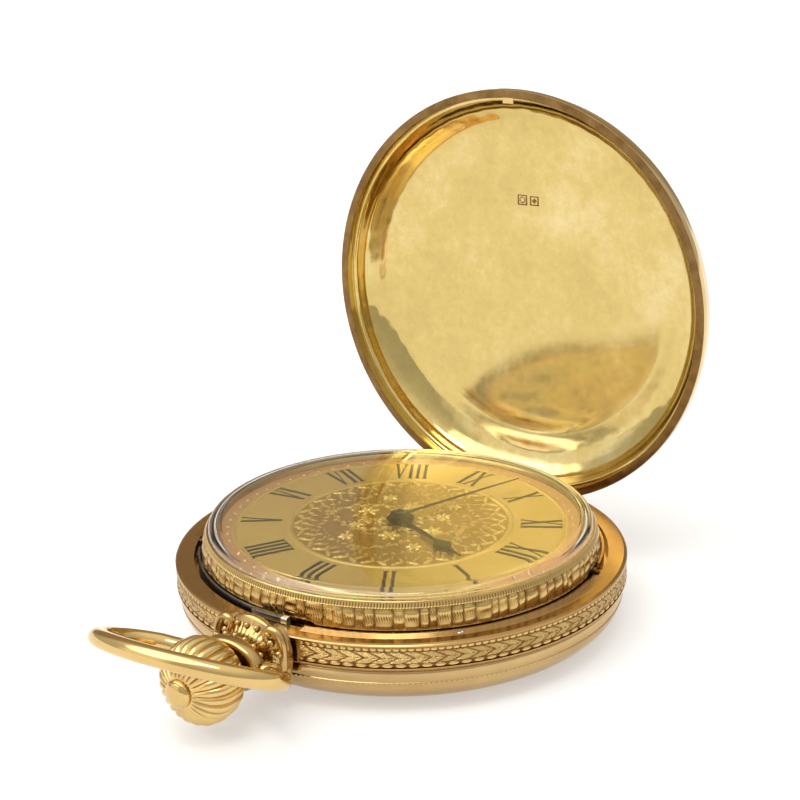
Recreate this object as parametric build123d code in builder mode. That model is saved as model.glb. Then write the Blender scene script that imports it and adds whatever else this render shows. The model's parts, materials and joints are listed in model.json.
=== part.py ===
from build123d import *
import math
import os

# Full hunter pocket watch, lying on its back with the front cover standing open.
# Millimetres. Origin: centre of the flat rest area on the back cover.
# +Z up out of the dial, +X to the pendant (III), +Y to XII, cover hinge at -X (IX).

# ---------------------------------------------------------------- driving sizes
CASE_R = 25.15          # chased band, outside radius
DIAL_Z = 10.2           # top of the dial
LEDGE_Z = 8.0           # seat of the front cover on the band
BAND_Z0 = 5.1           # bottom of the band
FIELD_R, FIELD_Z0, FIELD_Z1 = 24.95, 5.44, 7.66   # sunk field that carries the chasing
FIELD_A = 10.8          # degrees either side of the pendant left unsunk
GROOVE_R0, GROOVE_R1 = 22.1, 22.45
SEAT_Z = 7.2
MOVT_R = 20.9           # bore of the band that holds the movement
BEZEL_R = 22.05
BEZEL_Z0, BEZEL_Z1 = 7.7, 11.0
CRYSTAL_R = 21.4
GLASS_Z = 10.7          # the crystal's seat in the bezel
DIAL_R = 20.2
LID_R, LID_RIN = 25.03, 24.05
LID_Z0, LID_Z1 = 8.05, 14.0
HX, HZ = -23.35, 7.42   # front cover hinge axis (parallel to Y)
OPEN = 88.98            # degrees the front cover stands open
BX, BZ = -24.9, 4.95    # back cover hinge axis (parallel to Y)
KNUCKLE_R, PIN_R = 0.62, 0.30
PZ = 6.0                # height of the pendant axis
BOW_X = 29.3            # bow pivot
BOW_ANG = 27.0          # bow raised from the pendant axis
BOW_W = 0.95            # bow wire radius
BOW_CANT = 0.0
CROWN_X0, CROWN_X1, CROWN_R = 31.2, 37.8, 4.35
CLR = 0.05              # running clearance

# train layout
BAR = (4.5, 7.794)      # barrel centre, 9.0 from the centre arbor
THIRD = (-5.846, -3.375)
FOURTH = (THIRD[0] + 5.525 * math.cos(math.radians(-60)), THIRD[1] + 5.525 * math.sin(math.radians(-60)))
ESC = (FOURTH[0] + 4.84 * math.cos(math.radians(-20)), FOURTH[1] + 4.84 * math.sin(math.radians(-20)))
PAL = (ESC[0] + 3.5 * math.cos(math.radians(20)), ESC[1] + 3.5 * math.sin(math.radians(20)))
BAL = (PAL[0] + 3.8 * math.cos(math.radians(20)), PAL[1] + 3.8 * math.sin(math.radians(20)))
CRW = (BAR[0] + 6.8 * math.cos(math.radians(-41.4)), BAR[1] + 6.8 * math.sin(math.radians(-41.4)))
MINW = (0.0, -3.6)
PLATE_Z0, PLATE_Z1 = 7.0, 8.5
BRIDGE_Z0, BRIDGE_Z1 = 2.9, 4.1

os.makedirs("parts", exist_ok=True)


def save(piece, label):
    piece.part.label = label
    export_step(piece.part, f"parts/{label}.step")
    print(label, round(piece.part.volume, 3), len(piece.part.solids()))


def teeth(n, m, phase=0.0, add=0.85, ded=1.1):
    """Points round a gear of n teeth and module m, slim teeth with backlash."""
    rp = n * m / 2
    ra, rf = rp + add * m, rp - ded * m
    h = math.pi / (2 * n)
    pts = []
    for k in range(n):
        a = phase + 2 * math.pi * k / n
        for r, f in ((rf, -1.0), (ra, -0.38), (ra, 0.38), (rf, 1.0)):
            pts.append((r * math.cos(a + f * h * 0.9), r * math.sin(a + f * h * 0.9)))
    return pts


def mesh_phase(c_a, n_a, c_b, n_b, phase_a=0.0):
    """Phase of gear b so that its gap faces gear a's tooth on the line of centres."""
    al = math.atan2(c_b[1] - c_a[1], c_b[0] - c_a[0])
    return al + math.pi + math.pi / n_b - (phase_a - al) * n_a / n_b


# ---------------------------------------------------------------- case
with BuildPart() as case_band:
    with BuildSketch(Plane.XZ):
        with BuildLine():
            Polyline((MOVT_R, 4.6), (MOVT_R, SEAT_Z), (GROOVE_R1, SEAT_Z), (GROOVE_R1, LEDGE_Z), (24.8, LEDGE_Z),
                     (25.02, 7.92), (CASE_R, 7.82), (CASE_R, 5.3), (25.0, BAND_Z0), (24.2, BAND_Z0), (24.2, 3.9),
                     (23.5, 3.9), (23.5, 4.6), close=True)
        make_face()
    revolve(axis=Axis.Z)
    # sunk field of the chasing, stopping either side of the pendant's foot
    ca, sa = math.cos(math.radians(FIELD_A)), math.sin(math.radians(FIELD_A))
    with BuildSketch(Plane(origin=(0, 0, 0), x_dir=(ca, sa, 0), z_dir=(sa, -ca, 0))):
        with BuildLine():
            Polyline((FIELD_R, FIELD_Z0), (CASE_R + 0.3, FIELD_Z0 - 0.04), (CASE_R + 0.3, FIELD_Z1 + 0.04), (FIELD_R, FIELD_Z1), close=True)
        make_face()
    revolve(axis=Axis.Z, revolution_arc=360 - 2 * FIELD_A, mode=Mode.SUBTRACT)
    # pocket for the case springs beside the bezel
    with BuildSketch(Plane.XY.offset(6.9)):
        with BuildLine():
            l1 = CenterArc((0, 0), 22.1, -63, 72)
            l2 = CenterArc((0, 0), 23.1, -63, 72)
            Line(l1 @ 0, l2 @ 0)
            Line(l1 @ 1, l2 @ 1)
        make_face()
    extrude(amount=2.0, mode=Mode.SUBTRACT)
    # pocket for the lift spring on the hinge side
    with BuildSketch(Plane.XY.offset(6.9)):
        with BuildLine():
            l1 = CenterArc((0, 0), 22.1, 100, 68)
            l2 = CenterArc((0, 0), 23.1, 100, 68)
            Line(l1 @ 0, l2 @ 0)
            Line(l1 @ 1, l2 @ 1)
        make_face()
    extrude(amount=2.0, mode=Mode.SUBTRACT)
    # recess where the open cover's rim swings down behind the band
    with BuildSketch(Plane.XZ):
        with Locations((-24.6, 7.12)):
            Rectangle(2.2, 3.0)
    extrude(amount=7.95, both=True, mode=Mode.SUBTRACT)
    # space for the cover's centre knuckle
    with BuildSketch(Plane.XZ):
        with Locations((HX, HZ)):
            Circle(0.85)
    extrude(amount=3.7, both=True, mode=Mode.SUBTRACT)
    # case knuckles with their feet
    for s in (-1, 1):
        with BuildSketch(Plane.XZ.offset(s * 2.45)):
            with Locations((HX, HZ)):
                Circle(KNUCKLE_R)
            with Locations(((-23.85 - 22.75) / 2, (5.5 + HZ) / 2)):
                Rectangle(1.1, HZ - 5.5)
        extrude(amount=1.15, both=True)
    with BuildSketch(Plane.XZ):
        with Locations((HX, HZ)):
            Circle(PIN_R)
    extrude(amount=3.6, both=True, mode=Mode.SUBTRACT)
    # back hinge: room for the cover's knuckle, then the band's own two
    with BuildSketch(Plane.XZ):
        with Locations((BX, BZ)):
            Circle(0.58)
    extrude(amount=1.28, both=True, mode=Mode.SUBTRACT)
    for s in (-1, 1):
        with BuildSketch(Plane.XZ.offset(s * 2.45)):
            with Locations((BX, BZ)):
                Circle(0.5)
        extrude(amount=1.15, both=True)
    with BuildSketch(Plane.XZ):
        with Locations((BX, BZ)):
            Circle(0.22)
    extrude(amount=3.6, both=True, mode=Mode.SUBTRACT)
    # stem passage
    with BuildSketch(Plane.YZ.offset(20)):
        with Locations((0, PZ)):
            Circle(0.83)
    extrude(amount=6, mode=Mode.SUBTRACT)
    # threaded holes of the spring screws and case screws
    with Locations(*[(22.65 * math.cos(math.radians(a)), 22.65 * math.sin(math.radians(a)), 6.9) for a in (-60.6, 104)]):
        Cylinder(0.25, 1.4, mode=Mode.SUBTRACT)
save(case_band, "case_band")

with BuildPart() as front_hinge_pin:
    with BuildSketch(Plane.XZ):
        with Locations((HX, HZ)):
            Circle(PIN_R)
    extrude(amount=3.6, both=True)
save(front_hinge_pin, "front_hinge_pin")

with BuildPart() as back_hinge_pin:
    with BuildSketch(Plane.XZ):
        with Locations((BX, BZ)):
            Circle(0.22)
    extrude(amount=3.6, both=True)
save(back_hinge_pin, "back_hinge_pin")

# front cover, drawn closed in its own plane and standing open about its hinge
c, s_ = math.cos(math.radians(OPEN)), math.sin(math.radians(OPEN))
LO = (HX + c * (-HX) - s_ * (-HZ), 0, HZ + s_ * (-HX) + c * (-HZ))
LID = Plane(origin=LO, x_dir=(c, 0, s_), z_dir=(0, -1, 0))
LID_AXIS = Axis(LO, (-s_, 0, c))
with BuildPart() as front_cover:
    with BuildSketch(LID):
        with BuildLine():
            o1 = Line((LID_RIN, LID_Z0), (LID_R, LID_Z0))
            o2 = Line((LID_R, LID_Z0), (LID_R, 9.0))
            o3 = Spline((LID_R, 9.0), (24.2, 11.3), (21.8, 12.75), (18.0, 13.45), tangents=((0, 1), (-1, 0.1)))
            o4 = Spline((18.0, 13.45), (9.0, 13.88), (0, LID_Z1), tangents=((-1, 0.1), (-1, 0)))
            o5 = Line((0, LID_Z1), (0, 13.4))
            o6 = Spline((0, 13.4), (9.0, 13.3), (18.0, 12.95), tangents=((1, 0), (1, -0.09)))
            o7 = Spline((18.0, 12.95), (20.8, 12.35), (22.75, 11.1), (23.7, 9.25), tangents=((1, -0.09), (0.25, -1)))
            o8 = Line((23.7, 9.25), (LID_RIN, 9.2))
            o9 = Line((LID_RIN, 9.2), (LID_RIN, LID_Z0))
        make_face()
    revolve(axis=LID_AXIS)
    # lip that the lock spring's catch holds, opposite the hinge
    with BuildSketch(Plane(origin=(LO[0] - s_ * LID_Z0, 0, LO[2] + c * LID_Z0), x_dir=(c, 0, s_), z_dir=(-s_, 0, c))):
        with BuildLine():
            l1 = CenterArc((0, 0), 23.45, -6.5, 13)
            l2 = CenterArc((0, 0), 24.2, -6.5, 13)
            Line(l1 @ 0, l2 @ 0)
            Line(l1 @ 1, l2 @ 1)
        make_face()
    extrude(amount=0.15)
    # centre knuckle and its web
    with BuildSketch(LID):
        with Locations((HX, HZ)):
            Circle(KNUCKLE_R)
        with BuildLine():
            Polyline((-24.75, 8.05), (-24.75, 8.75), (-23.9, 8.75), (-23.0, 7.9), (-23.2, 7.42), (-23.9, 7.42), close=True)
        make_face()
    extrude(amount=1.2, both=True)
    with BuildSketch(LID):
        with Locations((HX, HZ)):
            Circle(PIN_R + CLR)
    extrude(amount=1.3, both=True, mode=Mode.SUBTRACT)
save(front_cover, "front_cover")

with BuildPart() as bezel:
    with BuildSketch(Plane.XZ):
        with BuildLine():
            Polyline((MOVT_R, BEZEL_Z0), (MOVT_R, 9.55), (20.25, 9.7), (20.25, 10.25), (20.6, GLASS_Z), (CRYSTAL_R + 0.05, GLASS_Z),
                     (CRYSTAL_R + 0.05, BEZEL_Z1), (21.6, BEZEL_Z1 - 0.05), (21.9, 10.3), (22.3, 8.65), (22.2, 8.5),
                     (BEZEL_R, 8.4), (BEZEL_R, BEZEL_Z0), close=True)
        make_face()
    revolve(axis=Axis.Z)
save(bezel, "bezel")

with BuildPart() as crystal:
    with BuildSketch(Plane.XZ):
        with BuildLine():
            Line((0, 11.75), (0, 12.5))
            Line((0, 12.5), (2.0, 12.5))
            ThreePointArc((2.0, 12.5), (10, 12.4), (19.4, 12.08))
            ThreePointArc((19.4, 12.08), (20.9, 11.82), (CRYSTAL_R, 11.3))
            Line((CRYSTAL_R, 11.3), (CRYSTAL_R, GLASS_Z))
            Line((CRYSTAL_R, GLASS_Z), (20.6, GLASS_Z))
            Line((20.6, GLASS_Z), (20.6, 11.0))
            ThreePointArc((20.6, 11.0), (20.2, 11.25), (19.2, 11.4))
            ThreePointArc((19.2, 11.4), (10, 11.67), (2.0, 11.75))
            Line((2.0, 11.75), (0, 11.75))
        make_face()
    revolve(axis=Axis.Z)
save(crystal, "crystal")

with BuildPart() as back_cover:
    with BuildSketch(Plane.XZ):
        with BuildLine():
            Line((0, 0.6), (0, 0))
            Line((0, 0), (14.5, 0))
            Spline((14.5, 0), (20.0, 0.45), (23.0, 1.25), (24.35, 2.5), (24.75, 3.55), tangents=((1, 0), (0.25, 1)))
            Line((24.75, 3.55), (24.87, 3.9))
            Line((24.87, 3.9), (24.87, 4.7))
            Line((24.87, 4.7), (24.7, 4.95))
            Line((24.7, 4.95), (24.3, 4.95))
            Line((24.3, 4.95), (24.3, 3.8))
            Spline((24.3, 3.8), (23.75, 2.7), (22.6, 1.8), (19.8, 1.05), (14.5, 0.6), tangents=((0, -1), (-1, 0)))
            Line((14.5, 0.6), (0, 0.6))
        make_face()
    revolve(axis=Axis.Z)
    for s in (-1, 1):
        with BuildSketch(Plane.XZ.offset(s * 2.47)):
            with Locations((BX, BZ)):
                Circle(0.58)
        extrude(amount=1.22, both=True, mode=Mode.SUBTRACT)
    with BuildSketch(Plane.XZ):
        with Locations((BX, BZ)):
            Circle(0.5)
    extrude(amount=1.18, both=True)
    with BuildSketch(Plane.XZ):
        with Locations((BX, BZ)):
            Circle(0.22 + CLR)
    extrude(amount=1.3, both=True, mode=Mode.SUBTRACT)
save(back_cover, "back_cover")

with BuildPart() as cuvette:
    with BuildSketch(Plane.XZ):
        with BuildLine():
            Polyline((0, 1.9), (20.0, 1.9), (22.2, 3.4), (23.4, 4.1), (23.4, 4.55), (22.7, 4.55), (22.0, 3.75), (19.8, 2.25),
                     (0, 2.25), close=True)
        make_face()
    revolve(axis=Axis.Z)
save(cuvette, "cuvette")

# ---------------------------------------------------------------- case springs
with BuildPart() as lock_spring:
    with BuildSketch(Plane.XY.offset(7.15)):
        with BuildLine():
            l1 = CenterArc((0, 0), 22.36, -53, 53.5)
            l2 = CenterArc((0, 0), 22.62, -53, 53.5)
            Line(l1 @ 0, l2 @ 0)
            Line(l1 @ 1, l2 @ 1)
        make_face()
    extrude(amount=1.3)
    # catch that hooks the cover's rim
    with BuildSketch(Plane.XY.offset(8.35)):
        with BuildLine():
            l1 = CenterArc((0, 0), 22.55, -3.5, 4.0)
            l2 = CenterArc((0, 0), 23.6, -3.5, 4.0)
            Line(l1 @ 0, l2 @ 0)
            Line(l1 @ 1, l2 @ 1)
        make_face()
    extrude(amount=0.35)
    # foot, clamped under its screw's head
    with BuildSketch(Plane.XY.offset(7.15)):
        with BuildLine():
            l1 = CenterArc((0, 0), 22.36, -58.5, 7)
            l2 = CenterArc((0, 0), 22.95, -58.5, 7)
            Line(l1 @ 0, l2 @ 0)
            Line(l1 @ 1, l2 @ 1)
        make_face()
    extrude(amount=0.35)
save(lock_spring, "lock_spring")

with BuildPart() as lift_spring:
    with BuildSketch(Plane.XY.offset(6.9)):
        with BuildLine():
            l1 = CenterArc((0, 0), 22.36, 101, 64)
            l2 = CenterArc((0, 0), 22.62, 101, 64)
            Line(l1 @ 0, l2 @ 0)
            Line(l1 @ 1, l2 @ 1)
        make_face()
    extrude(amount=1.5)
    with BuildSketch(Plane.XY.offset(6.9)):
        with BuildLine():
            l1 = CenterArc((0, 0), 22.2, 101, 6)
            l2 = CenterArc((0, 0), 23.05, 101, 6)
            Line(l1 @ 0, l2 @ 0)
            Line(l1 @ 1, l2 @ 1)
        make_face()
        with Locations((22.65 * math.cos(math.radians(104)), 22.65 * math.sin(math.radians(104)))):
            Circle(0.25, mode=Mode.SUBTRACT)
    extrude(amount=0.5)
    with BuildSketch(Plane.XY.offset(6.9)):
        with Locations((22.65 * math.cos(math.radians(104)), 22.65 * math.sin(math.radians(104)))):
            Circle(0.6)
    extrude(amount=2, mode=Mode.SUBTRACT)
    with BuildSketch(Plane.XY.offset(6.9)):
        with BuildLine():
            l1 = CenterArc((0, 0), 22.2, 101, 6)
            l2 = CenterArc((0, 0), 23.05, 101, 6)
            Line(l1 @ 0, l2 @ 0)
            Line(l1 @ 1, l2 @ 1)
        make_face()
        with Locations((22.65 * math.cos(math.radians(104)), 22.65 * math.sin(math.radians(104)))):
            Circle(0.25, mode=Mode.SUBTRACT)
    extrude(amount=0.5)
save(lift_spring, "lift_spring")

with BuildPart() as spring_screws:
    for a, z in ((-60.6, 7.6), (104, 7.42)):
        with Locations((22.65 * math.cos(math.radians(a)), 22.65 * math.sin(math.radians(a)), 6.25)):
            Cylinder(0.24, z - 6.25, align=(Align.CENTER, Align.CENTER, Align.MIN))
        with Locations((22.65 * math.cos(math.radians(a)), 22.65 * math.sin(math.radians(a)), z)):
            Cylinder(0.42, 0.4, align=(Align.CENTER, Align.CENTER, Align.MIN))
save(spring_screws, "spring_screws")

# ---------------------------------------------------------------- pendant, bow, crown
PA = Plane(origin=(0, 0, PZ), x_dir=(1, 0, 0), z_dir=(0, -1, 0))   # sketch: x = along pendant, y = up
PAX = Axis((0, 0, PZ), (1, 0, 0))
with BuildPart() as pendant:
    with BuildSketch(PA):
        with BuildLine():
            Polyline((24.5, 0.84), (26.0, 0.84), (26.0, 1.9), (30.3, 1.9), (30.3, 3.75), (30.0, 4.0), (28.6, 4.0), (28.3, 3.6),
                     (27.2, 3.1), (26.6, 3.1), (26.4, 3.4), (24.5, 3.4), close=True)
        make_face()
    revolve(axis=PAX)
    # side flanges of the foot
    with BuildSketch(Plane.YZ.offset(25.2)):
        with Locations((0, PZ)):
            Circle(4.5)
            Circle(1.95, mode=Mode.SUBTRACT)
            with Locations((0, 4.2), (0, -4.9)):
                Rectangle(12, 2.6, mode=Mode.SUBTRACT)
    extrude(amount=1.3)
    # fitted to the band, clear of both covers
    with Locations((0, 0, 6)):
        Cylinder(CASE_R + 0.001, 14, mode=Mode.SUBTRACT)
    for s in (-1, 1):
        with Locations((BOW_X, s * 3.3, PZ)):
            Cylinder(0.5, 1.6, rotation=(90, 0, 0), mode=Mode.SUBTRACT)
save(pendant, "pendant")

with BuildPart() as pendant_sleeve:
    with BuildSketch(PA):
        with BuildLine():
            Polyline((23.2, 0.5), (23.2, 0.78), (26.85, 0.78), (26.85, 1.85), (30.9, 1.85), (30.9, 0.5), close=True)
        make_face()
    revolve(axis=PAX)
save(pendant_sleeve, "pendant_sleeve")

with BuildPart() as winding_stem:
    with BuildSketch(PA):
        with BuildLine():
            Polyline((12.4, 0), (12.4, 0.45), (31.0, 0.45), (31.0, 0.9), (33.2, 0.9), (33.2, 0), close=True)
        make_face()
    revolve(axis=PAX)
save(winding_stem, "winding_stem")

with BuildPart() as winding_pinion:
    with BuildSketch(Plane.YZ.offset(14.2)):
        with Locations((0, PZ)):
            Polygon(*teeth(14, 0.17), align=None)
            Circle(0.45, mode=Mode.SUBTRACT)
    extrude(amount=1.4)
save(winding_pinion, "winding_pinion")

with BuildPart() as crown:
    with BuildSketch(PA):
        with BuildLine():
            Line((31.6, 0.9), (33.2, 0.9))
            Line((33.2, 0.9), (33.2, 0))
            Line((33.2, 0), (36.9, 0))
            Line((36.9, 0), (36.9, 1.5))
            Spline((36.9, 1.5), (36.6, 2.6), (35.6, 3.8), (34.2, CROWN_R), (32.6, 4.2), (31.5, 3.5), (31.2, 3.1),
                   tangents=((0, 1), (-0.3, -1)))
            Line((31.2, 3.1), (31.2, 2.5))
            Line((31.2, 2.5), (31.6, 2.5))
            Line((31.6, 2.5), (31.6, 0.9))
        make_face()
    revolve(axis=PAX)
    # flutes
    with Locations(*[Location((0, 0, PZ), (1, 0, 0), a) for a in range(0, 360, 15)]):
        with Locations((34.2, 0, CROWN_R + 0.12)):
            Cylinder(0.3, 7.5, rotation=(0, 90, 0), mode=Mode.SUBTRACT)
save(crown, "crown")

with BuildPart() as crown_button:
    with BuildSketch(PA):
        with BuildLine():
            Line((36.9, 0), (36.9, 1.45))
            Line((36.9, 1.45), (37.3, 1.45))
            ThreePointArc((37.3, 1.45), (37.62, 1.0), (CROWN_X1, 0.4))
            Line((CROWN_X1, 0.4), (CROWN_X1, 0))
            Line((CROWN_X1, 0), (36.9, 0))
        make_face()
    revolve(axis=PAX)
save(crown_button, "crown_button")

ba = math.radians(BOW_ANG)
BOWP = Plane(origin=(BOW_X, 0, PZ), x_dir=(math.cos(ba), 0, math.sin(ba)), z_dir=(-math.sin(ba), 0, math.cos(ba)))
RC, UC, VC, RO = 6.0, 7.0, 4.3, 14.0
UO = UC - math.sqrt((RO - RC) ** 2 - VC ** 2)
TA = math.atan2(VC, UC - UO)
def bw(x, y):
    """Point of the bow's own plane in the watch's frame."""
    return (BOW_X + x * math.cos(ba), y, PZ + x * math.sin(ba))


BN = (-math.sin(ba), 0, math.cos(ba))   # normal of the bow's plane


def bow_section(cx, cy, r, ang):
    """Plane across the wire, on a circle of radius r about (cx, cy), at ang degrees."""
    a = math.radians(ang)
    rx, ry = math.cos(a), math.sin(a)
    tx, ty = -ry, rx
    return Plane(origin=bw(cx + r * rx, cy + r * ry), x_dir=(rx * math.cos(ba), ry, rx * math.sin(ba)),
                 z_dir=(tx * math.cos(ba), ty, tx * math.sin(ba)))


TAD = math.degrees(TA)
with BuildPart() as bow:
    # outer end
    with BuildSketch(bow_section(UO, 0, RO, -TAD)):
        Circle(BOW_W)
    revolve(axis=Axis(bw(UO, 0), BN), revolution_arc=2 * TAD)
    for s in (-1, 1):
        # shoulder, from the outer arc round to the neck
        with BuildSketch(bow_section(UC, s * VC, RC, s * TAD)):
            Circle(BOW_W)
        revolve(axis=Axis(bw(UC, s * VC), (s * BN[0], 0, s * BN[2])), revolution_arc=158 - TAD)
        # straight neck down to the eye
        q0 = bw(UC + RC * math.cos(math.radians(158)), s * (VC + RC * math.sin(math.radians(158))))
        q1 = bw(0.55, s * 4.95)
        dq = tuple(q1[i] - q0[i] for i in range(3))
        with BuildSketch(Plane(origin=q0, z_dir=dq)):
            Circle(BOW_W)
        extrude(amount=math.sqrt(sum(v * v for v in dq)))
    # eyes
    for s in (-1, 1):
        with Locations((BOW_X, s * 4.88, PZ)):
            Cylinder(1.25, 1.46, rotation=(90, 0, 0))
    for s in (-1, 1):
        with Locations((BOW_X, s * 4.88, PZ)):
            Cylinder(0.55, 2.2, rotation=(90, 0, 0), mode=Mode.SUBTRACT)
        with Locations((BOW_X, s * 3.0, PZ)):
            Cylinder(1.9, 2.3, rotation=(90, 0, 0), mode=Mode.SUBTRACT)
        with Locations((BOW_X, s * 6.4, PZ)):
            Cylinder(1.0, 1.58, rotation=(90, 0, 0), mode=Mode.SUBTRACT)
save(bow, "bow")

with BuildPart() as bow_screws:
    for s in (-1, 1):
        with Locations((BOW_X, s * 4.1, PZ)):
            Cylinder(0.5, 3.2, rotation=(90, 0, 0))
        with Locations((BOW_X, s * 5.95, PZ)):
            Cylinder(0.85, 0.5, rotation=(90, 0, 0))
save(bow_screws, "bow_screws")

# ---------------------------------------------------------------- dial side
FEET = [(18.6 * math.cos(math.radians(a)), 18.6 * math.sin(math.radians(a))) for a in (75, 195, 315)]
with BuildPart() as dial:
    with Locations((0, 0, DIAL_Z)):
        Cylinder(DIAL_R, 0.6, align=(Align.CENTER, Align.CENTER, Align.MAX))
    with Locations(*[(x, y, 9.6) for x, y in FEET]):
        Cylinder(0.4, 2.0, align=(Align.CENTER, Align.CENTER, Align.MAX))
    with Locations((0, 0, 9.9)):
        Cylinder(1.1, 1.0, mode=Mode.SUBTRACT)
save(dial, "dial")

CASE_SC = [(19.5 * math.cos(math.radians(a)), 19.5 * math.sin(math.radians(a))) for a in (40, 160, 250)]
with BuildPart() as main_plate:
    with BuildSketch(Plane.XZ):
        with BuildLine():
            Polyline((0, PLATE_Z0), (20.8, PLATE_Z0), (20.8, 7.22), (21.4, 7.22), (21.4, 7.66), (20.8, 7.66), (20.8, 8.5),
                     (20.1, 8.5), (20.1, 9.6), (19.4, 9.6), (19.4, PLATE_Z1), (0, PLATE_Z1), close=True)
        make_face()
    revolve(axis=Axis.Z)
    with Locations((0, 0, 7.75)):
        Cylinder(0.4, 3.0, mode=Mode.SUBTRACT)
    for x, y in (THIRD, FOURTH, ESC, PAL, BAL):
        with Locations((x, y, PLATE_Z0)):
            Cylinder(0.2, 0.6, align=(Align.CENTER, Align.CENTER, Align.MIN), mode=Mode.SUBTRACT)
    with Locations((BAR[0], BAR[1], PLATE_Z0)):
        Cylinder(1.05, 1.1, align=(Align.CENTER, Align.CENTER, Align.MIN), mode=Mode.SUBTRACT)
    with Locations(*[(x, y, 7.5) for x, y in FEET]):
        Cylinder(0.42, 2.6, mode=Mode.SUBTRACT)
    # stud of the minute wheel
    with Locations((MINW[0], MINW[1], PLATE_Z1)):
        Cylinder(0.3, 1.0, align=(Align.CENTER, Align.CENTER, Align.MIN))
    # passage of the stem and its pinion
    with BuildSketch(Plane.YZ.offset(12.0)):
        with Locations((0, PZ)):
            Circle(1.7)
    extrude(amount=10, mode=Mode.SUBTRACT)
save(main_plate, "main_plate")

with BuildPart() as case_screws:
    for x, y in CASE_SC:
        with Locations((x, y, 6.4)):
            Cylinder(0.7, 0.55, align=(Align.CENTER, Align.CENTER, Align.MIN))
save(case_screws, "case_screws")

with BuildPart() as cannon_pinion:
    with Locations((0, 0, 8.6)):
        Cylinder(0.6, 2.75, align=(Align.CENTER, Align.CENTER, Align.MIN))
    with BuildSketch(Plane.XY.offset(8.6)):
        Polygon(*teeth(10, 0.18, phase=0.0), align=None)
    extrude(amount=0.4)
    with Locations((0, 0, 8.5)):
        Cylinder(0.345, 2.4, align=(Align.CENTER, Align.CENTER, Align.MIN), mode=Mode.SUBTRACT)
save(cannon_pinion, "cannon_pinion")

with BuildPart() as minute_wheel:
    with BuildSketch(Plane.XY.offset(8.65)):
        with Locations(MINW):
            Polygon(*teeth(30, 0.18, phase=mesh_phase((0, 0), 10, MINW, 30)), align=None)
            Circle(0.35, mode=Mode.SUBTRACT)
    extrude(amount=0.3)
    with BuildSketch(Plane.XY.offset(8.95)):
        with Locations(MINW):
            Polygon(*teeth(8, 0.18, phase=0.0), align=None)
            Circle(0.35, mode=Mode.SUBTRACT)
    extrude(amount=0.5)
save(minute_wheel, "minute_wheel")

with BuildPart() as hour_wheel:
    with BuildSketch(Plane.XY.offset(9.12)):
        Polygon(*teeth(32, 0.18, phase=mesh_phase(MINW, 8, (0, 0), 32)), align=None)
    extrude(amount=0.28)
    with Locations((0, 0, 9.12)):
        Cylinder(0.95, 1.6, align=(Align.CENTER, Align.CENTER, Align.MIN))
    with Locations((0, 0, 9.0)):
        Cylinder(0.66, 2.0, align=(Align.CENTER, Align.CENTER, Align.MIN), mode=Mode.SUBTRACT)
save(hour_wheel, "hour_wheel")

# hands: the hour hand points just before I, the minute hand to 48 minutes
HOUR_A = 90 - 30 * (12 + 48 / 60)
MIN_A = 90 - 6 * 48
HP = Plane(origin=(0, 0, 10.45), x_dir=(math.cos(math.radians(HOUR_A)), math.sin(math.radians(HOUR_A)), 0), z_dir=(0, 0, 1))
with BuildPart() as hour_hand:
    with BuildSketch(HP):
        Circle(1.5)
        with BuildLine():
            Polyline((0, 0.34), (5.6, 0.26), (6.2, 0.7), (7.6, 1.05), (9.3, 0.42), (11.4, 0.12), (12.2, 0.0), (11.4, -0.12),
                     (9.3, -0.42), (7.6, -1.05), (6.2, -0.7), (5.6, -0.26), (0, -0.34), close=True)
        make_face()
        Circle(0.95, mode=Mode.SUBTRACT)
    extrude(amount=0.25)
save(hour_hand, "hour_hand")

MP = Plane(origin=(0, 0, 10.95), x_dir=(math.cos(math.radians(MIN_A)), math.sin(math.radians(MIN_A)), 0), z_dir=(0, 0, 1))
with BuildPart() as minute_hand:
    with BuildSketch(MP):
        Circle(1.15)
        with BuildLine():
            Polyline((-3.4, 0.2), (0, 0.36), (9.0, 0.22), (10.2, 0.5), (12.4, 0.34), (17.0, 0.08), (17.6, 0), (17.0, -0.08),
                     (12.4, -0.34), (10.2, -0.5), (9.0, -0.22), (0, -0.36), (-3.4, -0.2), close=True)
        make_face()
        Circle(0.6, mode=Mode.SUBTRACT)
    extrude(amount=0.2)
save(minute_hand, "minute_hand")

# ---------------------------------------------------------------- train
with BuildPart() as center_wheel:
    with BuildSketch(Plane.XY.offset(6.68)):
        Polygon(*teeth(80, 0.15), align=None)
        for k in range(5):
            with Locations(Location((0, 0, 0), (0, 0, 1), 72 * k)):
                with Locations((3.7, 0)):
                    Circle(1.25, mode=Mode.SUBTRACT)
    extrude(amount=0.22)
    with BuildSketch(Plane.XY.offset(5.8)):
        Polygon(*teeth(12, 0.2, phase=mesh_phase(BAR, 78, (0, 0), 12)), align=None)
    extrude(amount=0.88)
    with Locations((0, 0, 3.0)):
        Cylinder(0.33, 7.85, align=(Align.CENTER, Align.CENTER, Align.MIN))
save(center_wheel, "center_wheel")

with BuildPart() as third_wheel:
    with BuildSketch(Plane.XY.offset(4.6)):
        with Locations(THIRD):
            Polygon(*teeth(75, 0.13), align=None)
            for k in range(5):
                with Locations(Location((THIRD[0], THIRD[1], 0), (0, 0, 1), 72 * k)):
                    with Locations((2.9, 0)):
                        Circle(1.0, mode=Mode.SUBTRACT)
    extrude(amount=0.2)
    with BuildSketch(Plane.XY.offset(6.62)):
        with Locations(THIRD):
            Polygon(*teeth(10, 0.15, phase=mesh_phase((0, 0), 80, THIRD, 10)), align=None)
    extrude(amount=0.33)
    with Locations((THIRD[0], THIRD[1], 3.6)):
        Cylinder(0.16, 3.8, align=(Align.CENTER, Align.CENTER, Align.MIN))
    with Locations((THIRD[0], THIRD[1], 4.4)):
        Cylinder(0.35, 2.3, align=(Align.CENTER, Align.CENTER, Align.MIN))
save(third_wheel, "third_wheel")

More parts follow.
